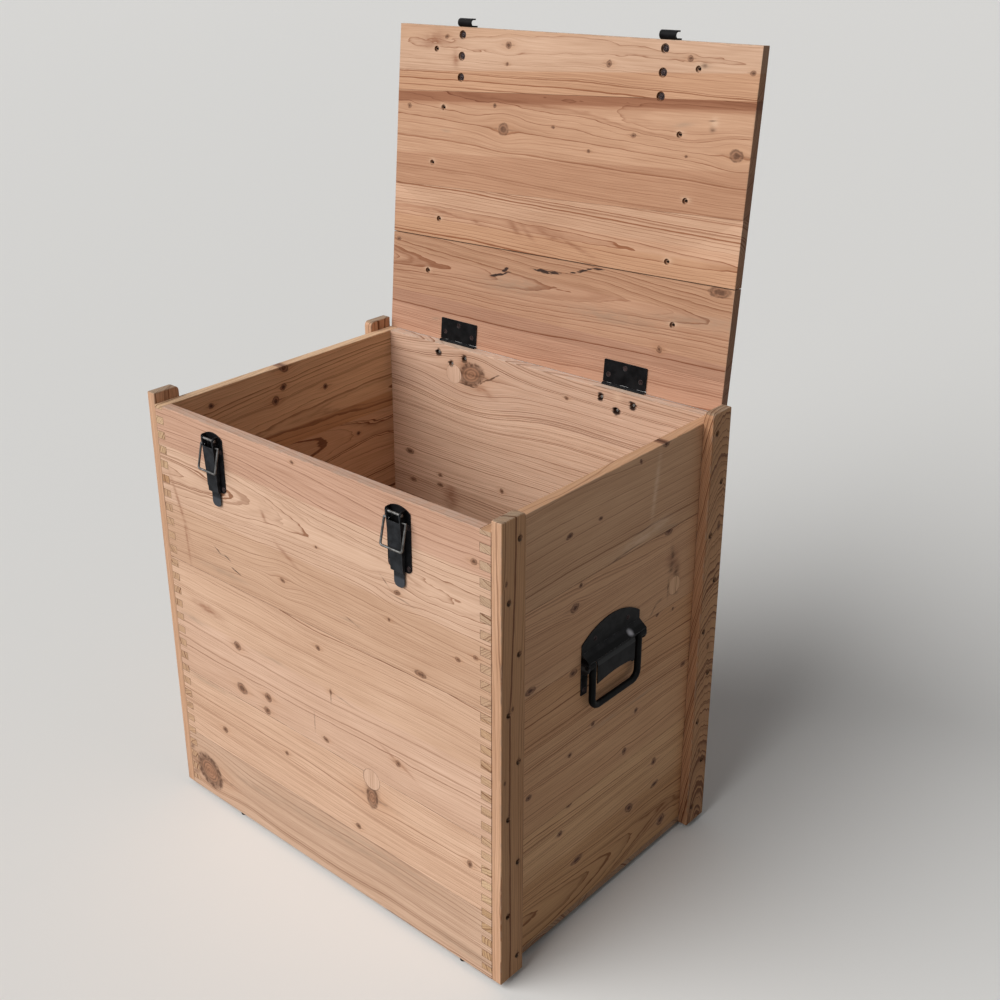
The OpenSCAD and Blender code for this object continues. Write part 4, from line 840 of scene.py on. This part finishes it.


# %% [markdown]
# Nails come through from the battens on the lid's other side. Their places are measured on the
# nails themselves, and each has lightened the wood round it.

# %% Lid boards
# The lid's end tone is far darker than the walls': it is end grain, and it is partly painted shade for the lid's
# right end, which lies in shade.
lid = dict(along=(1, 0, 0), across=lid_out, deep=lid_deep, start=lid_start, width=0.46,
           end_tone=(0.52, 0.47, 0.42), spring=(0.575, 0.345, 0.222, 1), summer=(0.290, 0.120, 0.058, 1))
lid_boards = {
    "lid_board_hinge": dict(
        seed=110.2, pith=(0.115, 0.028), ring=0.0030, sway=0.05, tilt=0.02, figure=0.8,
        strips=((0, (0.90, 0.84, 0.87)), (38, (0.76, 0.69, 0.70)), (60, (0.86, 0.81, 0.79)),
                (120, (0.83, 0.78, 0.74))),
        knots=((497, 62, 5, 1.2, 70), (12, 137, 4, 1.5, 0), (578, 153, 9, 2.2, 5)),
        rusts=((497, 60, 8, 8, 0),),
        greys=((240, 104, 60, 14, 5), (560, 110, 90, 8, 4), (420, 90, 70, 10), (96, 27, 9, 2.5, 15)),
        cracks=((215, 115, 24, 2.6, 12), (300, 134, 34, 3.4, 3), (365, 144, 44, 2.2, 14),
                (226, 122, 8, 3.5, 30))),
    "lid_board_second": dict(
        seed=113.5, pith=(0.186, 0.009), ring=0.0042, sway=0.022, tilt=0.004, figure=1.0, slant=0.02,
        strips=((0, (0.93, 0.87, 0.80)), (176, (1.0, 0.98, 0.97)), (192, (1.02, 1.04, 1.06))),
        rusts=((170, 183, 14, 3, -10), (238, 185, 13, 5, -35), (262, 182, 14, 3.5, -38),
               (298, 186, 28, 5, -14), (345, 176, 34, 3, -20), (110, 188, 40, 2, -4))),
    "lid_board_third": dict(
        seed=116.1, pith=(0.36, 0.05), ring=0.0034, sway=0.03, figure=0.65, slant=0.058,
        strips=((0, (0.83, 0.75, 0.70)), (268, (0.95, 0.92, 0.89)), (338, (0.80, 0.70, 0.64)),
                (343, (0.55, 0.40, 0.33)), (357, (0.97, 0.92, 0.86))),
        knots=((25, 337, 5, 1.0, 0), (208, 319, 10.5, 1.1, 10, 1.6), (295, 330, 2.5, 1.6, 0), (357, 305, 3),
               (426, 332, 4), (508, 314, 2.5), (579, 322, 9.5, 1.2, 0, 2.0), (190, 350, 4, 1.0, 0, 1.3)),
        greys=((100, 307, 9, 2.5), (500, 352, 14, 3, 8)), pales=((544, 358, 5, 6),),
        darks=((542, 349, 4, 3.4), (541, 360, 5, 1.0, 8, 0.3))),
    "lid_board_front": dict(
        seed=119.8, pith=(0.43, 0.03), ring=0.0042, sway=0.03, tilt=0.01, figure=0.62, slant=0.058,
        strips=((0, (0.97, 0.92, 0.86)), (385, (1.05, 1.12, 1.18)), (430, (1.0, 1.03, 1.04))),
        knots=((209, 432, 6, 1.1, 0, 1.6), (208, 407, 3, 1.2, 40), (379, 418, 5, 1.2, 40), (589, 420, 4),
               (500, 432, 4.5), (95, 438, 4, 1.3, 30)),
        rusts=((113, 408, 6, 10, 10), (70, 432, 26, 10, 10)),
        darks=((521, 424, 4, 2.4, 10, 0.4),), greys=((520, 423, 10, 3, 5),))}
lid_nails = parts_of("lid_nails", lid["along"], lid["across"], lid["start"])
reaches = dict(lid_board_hinge=(0, 160), lid_board_second=(160, 215), lid_board_third=(215, 362),
               lid_board_front=(362, 460))
for name, (low, high) in reaches.items():
    lid_boards[name]["pales"] = lid_boards[name].get("pales", ()) + tuple(
        (u + 1, v + 2, 6.5, 4) for u, v in lid_nails if low < v < high)
build_boards(lid_boards, lid, (lid_joints, 0.2 * MM, -1), (lid_edges, EASED, 1))
print("lid boards:", len(lid_boards), "with nails at", lid_nails)

# %% [markdown]
# ## Lid battens
# Two battens on the lid's outer side hold its boards together. Their grain runs across that of the
# boards, and their outer edges are rounded a little more than the boards'.

# %% Lid battens
for i, name in enumerate(("lid_batten_left", "lid_batten_right")):
    points = [v.co - lid_start for v in frame["nodes"][name].data.vertices]
    reach_out = [f(p.dot(lid_out) for p in points) for f in (min, max)]
    reach_x = [f(p.x for p in points) for f in (min, max)]

    def batten_edges(a, b):
        near = []
        for p in (a - lid_start, b - lid_start):
            sides = (min(abs(p.dot(lid_out) - r) for r in reach_out), min(abs(p.x - r) for r in reach_x))
            near.append(min(sides) < NEAR)
        return all(near) and (a - b).length > 10 * MM

    wood = pine(name + "_pine", lid_out, (1, 0, 0), lid_deep, lid_start + Vector((reach_x[0], 0, 0)),
                seed=130 + 5.5 * i, pith=(0.01 + 0.02 * i, 0.06), spring=side_spring, summer=side_summer,
                knots=((160 + 90 * i, 14, 5), (330, 30, 4)))
    fit(softened(name, (batten_edges, 1.5 * MM, 1)), wood, name)
    print(name, "is", round(reach_out[1] - reach_out[0], 3), "m long")

# %% [markdown]
# ## Ironwork
# The hinges, latches, keepers and handles are pressed from sheet steel and dipped in black lacquer.
# Lacquer is thinnest on the edges, so years of use rub those grey first. One recipe makes all the metals: clouds
# between a dark and a light tone, worn edges, round painted highlights, and level bands of another tone.

# %% Metal recipe
def metal(name, dark, light, worn, rough=0.45, shine=0.05, metallic=0.0, wear=0.7, clouds=70.0, painted_highlights=(),
          bands=()):
    """A metal finish. Each highlight is (place, radius in mm, share): a round painted highlight, mixed to the worn
    tone together with the worn edges, so that tone is also the highlight's tone. Each band is (height, half width
    in mm, tone) and runs level: on the handle plates a band of painted shade under the hood's lip and a painted
    highlight below it, and on a lever a lighter band across its tab."""
    material, tree = new_finish(name)
    where = put(tree, "ShaderNodeTexCoord").outputs["Object"]
    cloud = noise(tree, where, scale=clouds, detail=4.0, rough=0.6).outputs[0]
    fine = noise(tree, where, scale=1100.0, detail=2.0).outputs[0]
    colour = blend(tree, ease(tree, cloud, 0.32, 0.68), (*dark, 1), (*light, 1))
    if bands:
        level_of = put(tree, "ShaderNodeSeparateXYZ", {0: where}).outputs[2]
    for centre, half, tone in bands:
        off = calc(tree, "ABSOLUTE", calc(tree, "SUBTRACT", level_of, centre))
        inside = ease(tree, calc(tree, "DIVIDE", off, half * MM), 1.0, 0.55)
        colour = blend(tree, inside, colour, (*tone, 1))
    mark = put(tree, "ShaderNodeAttribute", attribute_name="edge").outputs["Fac"]
    patch = noise(tree, where, scale=clouds * 3.1, detail=3.0).outputs[0]
    # Worn edges go to the worn tone; the loop below adds round painted highlights to the same mix.
    wear_and_highlight = calc(tree, "MULTIPLY", calc(tree, "MULTIPLY", mark, wear), ease(tree, patch, 0.36, 0.58))
    for centre, radius, share in painted_highlights:
        far = put(tree, "ShaderNodeVectorMath", {0: where, 1: centre}, operation="DISTANCE").outputs["Value"]
        ragged_far = calc(tree, "MULTIPLY_ADD", patch, 0.5, calc(tree, "DIVIDE", far, radius * MM))
        wear_and_highlight = calc(tree, "MAXIMUM", wear_and_highlight, ease(tree, ragged_far, 1.25, 0.35, 0.0, share))
    colour = blend(tree, wear_and_highlight, colour, (*worn, 1))
    shade = calc(tree, "MULTIPLY_ADD", centred(tree, cloud), 0.35, rough)
    height = calc(tree, "MULTIPLY_ADD", cloud, 1.2, fine)
    shader = put(tree, "ShaderNodeBsdfPrincipled", {
        "Base Color": colour, "Roughness": shade, "Specular IOR Level": shine, "Metallic": metallic,
        "Normal": put(tree, "ShaderNodeBump", {"Strength": 0.35, "Distance": 0.2 * MM,
                                               "Height": height}).outputs[0]})
    put(tree, "ShaderNodeOutputMaterial", {0: shader.outputs[0]})
    return material


def hardware(material, *names, width=0.25, kind="iron_"):
    """Metal pieces with every sharp edge broken by a fraction of a millimetre."""
    for name in names:
        piece = softened(name, (lambda a, b: True, width * MM, 1), steps=2, kind=kind, clamp=True)
        fit(piece, material, name)
    print(material.name, "is on", len(names), "pieces")


print("the metal recipe is ready")

# %% [markdown]
# ## Black lacquer
# All the fittings were dipped in the same lacquer and are worn at their edges. The levers carry a lighter bluish
# grey band across their tabs; the handle plates have a painted highlight on the hood, painted shade under the
# hood's lip and a painted highlight below it; the grips are still black.

# %% Black lacquer
BLACK, SOOT, BARE_STEEL = (0.004, 0.004, 0.0045), (0.010, 0.010, 0.011), (0.22, 0.22, 0.225)
lacquer = metal("black_lacquer", BLACK, SOOT, BARE_STEEL)
hardware(lacquer, "left_hinge_wall_leaf", "right_hinge_wall_leaf", "left_hinge_lid_leaf",
         "right_hinge_lid_leaf", "left_keeper", "right_keeper", "left_latch_base", "right_latch_base")
for side in ("left", "right"):
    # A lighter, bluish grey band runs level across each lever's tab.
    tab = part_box(side + "_latch_lever")[0].z + 6 * MM
    hardware(metal(side + "_lever_lacquer", (0.012, 0.0125, 0.014), (0.028, 0.030, 0.034),
                   (0.16, 0.165, 0.175), bands=((tab, 9, (0.052, 0.057, 0.066)),)), side + "_latch_lever")
    swing = Vector(joints[side + "_handle_swing"]["pos_m"])
    # The hood's spot is a painted highlight where the lamp would glint on the hood's curved end.
    hood = swing + Vector((0, 30 * MM, 11.5 * MM))
    # The plate's first band is painted shade under the hood's lip, the second a painted highlight on the apron's
    # shoulder below it.
    hardware(metal(side + "_plate_lacquer", (0.006, 0.006, 0.0065), (0.020, 0.020, 0.021), (0.52, 0.52, 0.56),
                   rough=0.36, wear=0.35, painted_highlights=((hood, 7.5, 1.0),),
                   bands=((swing.z + 8.5 * MM, 4.5, (0.0012, 0.0012, 0.0012)),
                          (swing.z - 2.5 * MM, 3.8, (0.045, 0.046, 0.047)))), side + "_handle_plate")
    hardware(metal(side + "_grip_lacquer", (0.002, 0.002, 0.002), (0.006, 0.006, 0.006), (0.10, 0.10, 0.10),
                   rough=0.36, wear=0.3), side + "_handle_bail")

# %% [markdown]
# The draw latches' bails are bent from bare wire, so they are plain steel with a faint tarnish in soft clouds.
# Screws, bolts and nails have their own tones: a nail that was never lacquered rusts in the wood, and a bolt's cut
# end stays bright.

# %% Wire, screws and nails
wire = metal("tarnished_wire", (0.060, 0.058, 0.056), (0.150, 0.148, 0.146), (0.45, 0.45, 0.45), rough=0.38,
             metallic=1.0, clouds=160.0)
hardware(wire, "left_latch_bail", "right_latch_bail", "left_latch_pin", "right_latch_pin",
         "left_hinge_pin", "right_hinge_pin")
hardware(metal("dark_screws", (0.014, 0.009, 0.009), (0.052, 0.036, 0.036), (0.34, 0.27, 0.27), wear=0.9,
               clouds=200.0), "latch_screws", "hinge_lid_screws", "keeper_bolts", "handle_screws")
hardware(metal("zinc_bolts", (0.055, 0.052, 0.048), (0.20, 0.195, 0.185), (0.62, 0.61, 0.58), rough=0.35,
               shine=0.5, wear=1.0, clouds=240.0), "hinge_wall_bolts")
hardware(metal("rusty_nails", (0.006, 0.004, 0.003), (0.024, 0.014, 0.010), (0.07, 0.045, 0.032), rough=0.7,
               clouds=300.0), "post_nails", "lid_nails")
hardware(metal("rubber", (0.018, 0.018, 0.018), (0.034, 0.034, 0.034), (0.06, 0.06, 0.06), rough=0.85,
               wear=0.4), "glides", kind="rubber_")

# %% [markdown]
# ## Wood plugs
# Round plugs close old knot holes and bolt holes. They are cut across the grain from a finer piece
# of the same wood and glued in flush; the glue line round each one holds a little dirt.

# %% Wood plugs
# The face tone here is painted shade on the plug in the shaded right wall.
plug_pine = pine("plug_pine", (0, 0, 1), (1, 1, 0), (-1, 0, 0), (0, 0, 0), seed=140.0, pith=(0.31, 0.30),
                 ring=0.0021, sway=0.02, figure=0.6, spring=(0.70, 0.47, 0.34, 1),
                 summer=(0.40, 0.21, 0.12, 1), shaded_face_tone=(0.98, 0.88, 0.72))
fit(softened("wood_plugs", (lambda a, b: True, 1.1 * MM, -1), clamp=True), plug_pine, "wood_plugs")
print("plugs:", len(parts_of("wood_plugs", (1, 0, 0), (0, 0, 1), (0, 0, 0))))

# %% [markdown]
# ## Floor and light
# The chest stands on a plain pale floor. One broad soft lamp stands to the left of the front, so
# the front and the open lid are bright and the right wall lies in shade. The surroundings are white
# to the camera and in reflections, and only gently bright to everything else.

# %% Floor
FLOOR_REACH = 40.0
floor_mesh = bpy.data.meshes.new("floor")
corners = ((-1, -1), (1, -1), (1, 1), (-1, 1))
floor_mesh.from_pydata([(x * FLOOR_REACH, y * FLOOR_REACH, 0) for x, y in corners], [], [(0, 1, 2, 3)])
floor = bpy.data.objects.new("floor", floor_mesh)
bpy.context.scene.collection.objects.link(floor)
floor_paint = bpy.data.materials.new("floor_paint")
floor_paint.use_nodes = True
tree = floor_paint.node_tree
paint = tree.nodes["Principled BSDF"].inputs
floor_tone = blend(tree, seen_white(tree), (0.44, 0.44, 0.44, 1), (0.82, 0.82, 0.81, 1))
tree.links.new(floor_tone, paint["Base Color"])
paint["Roughness"].default_value = 0.9
floor_mesh.materials.append(floor_paint)
print("the floor reaches", FLOOR_REACH, "m to each side")

# %% Lights
world = bpy.data.worlds.new("studio")
bpy.context.scene.world = world
world.use_nodes = True
sky = world.node_tree
sky.nodes.clear()
DIM, WHITE = 0.16, 1.0
strength = calc(sky, "MULTIPLY_ADD", seen_white(sky), WHITE - DIM, DIM)
glow = put(sky, "ShaderNodeBackground", {"Color": (1, 1, 1, 1), "Strength": strength})
put(sky, "ShaderNodeOutputWorld", {0: glow.outputs[0]})

window_light = bpy.data.lights.new("window", "SUN")
window_light.energy, window_light.angle, window_light.color = 3.25, math.radians(60), (1.0, 0.985, 0.965)
window = bpy.data.objects.new("window", window_light)
window.rotation_mode = "QUATERNION"
window.rotation_quaternion = Vector((0.42, 1.0, -0.78)).to_track_quat("-Z", "Y")
bpy.context.scene.collection.objects.link(window)
bpy.context.scene.view_settings.view_transform = "Standard"
print("the window lamp is", round(math.degrees(window_light.angle)), "degrees wide")
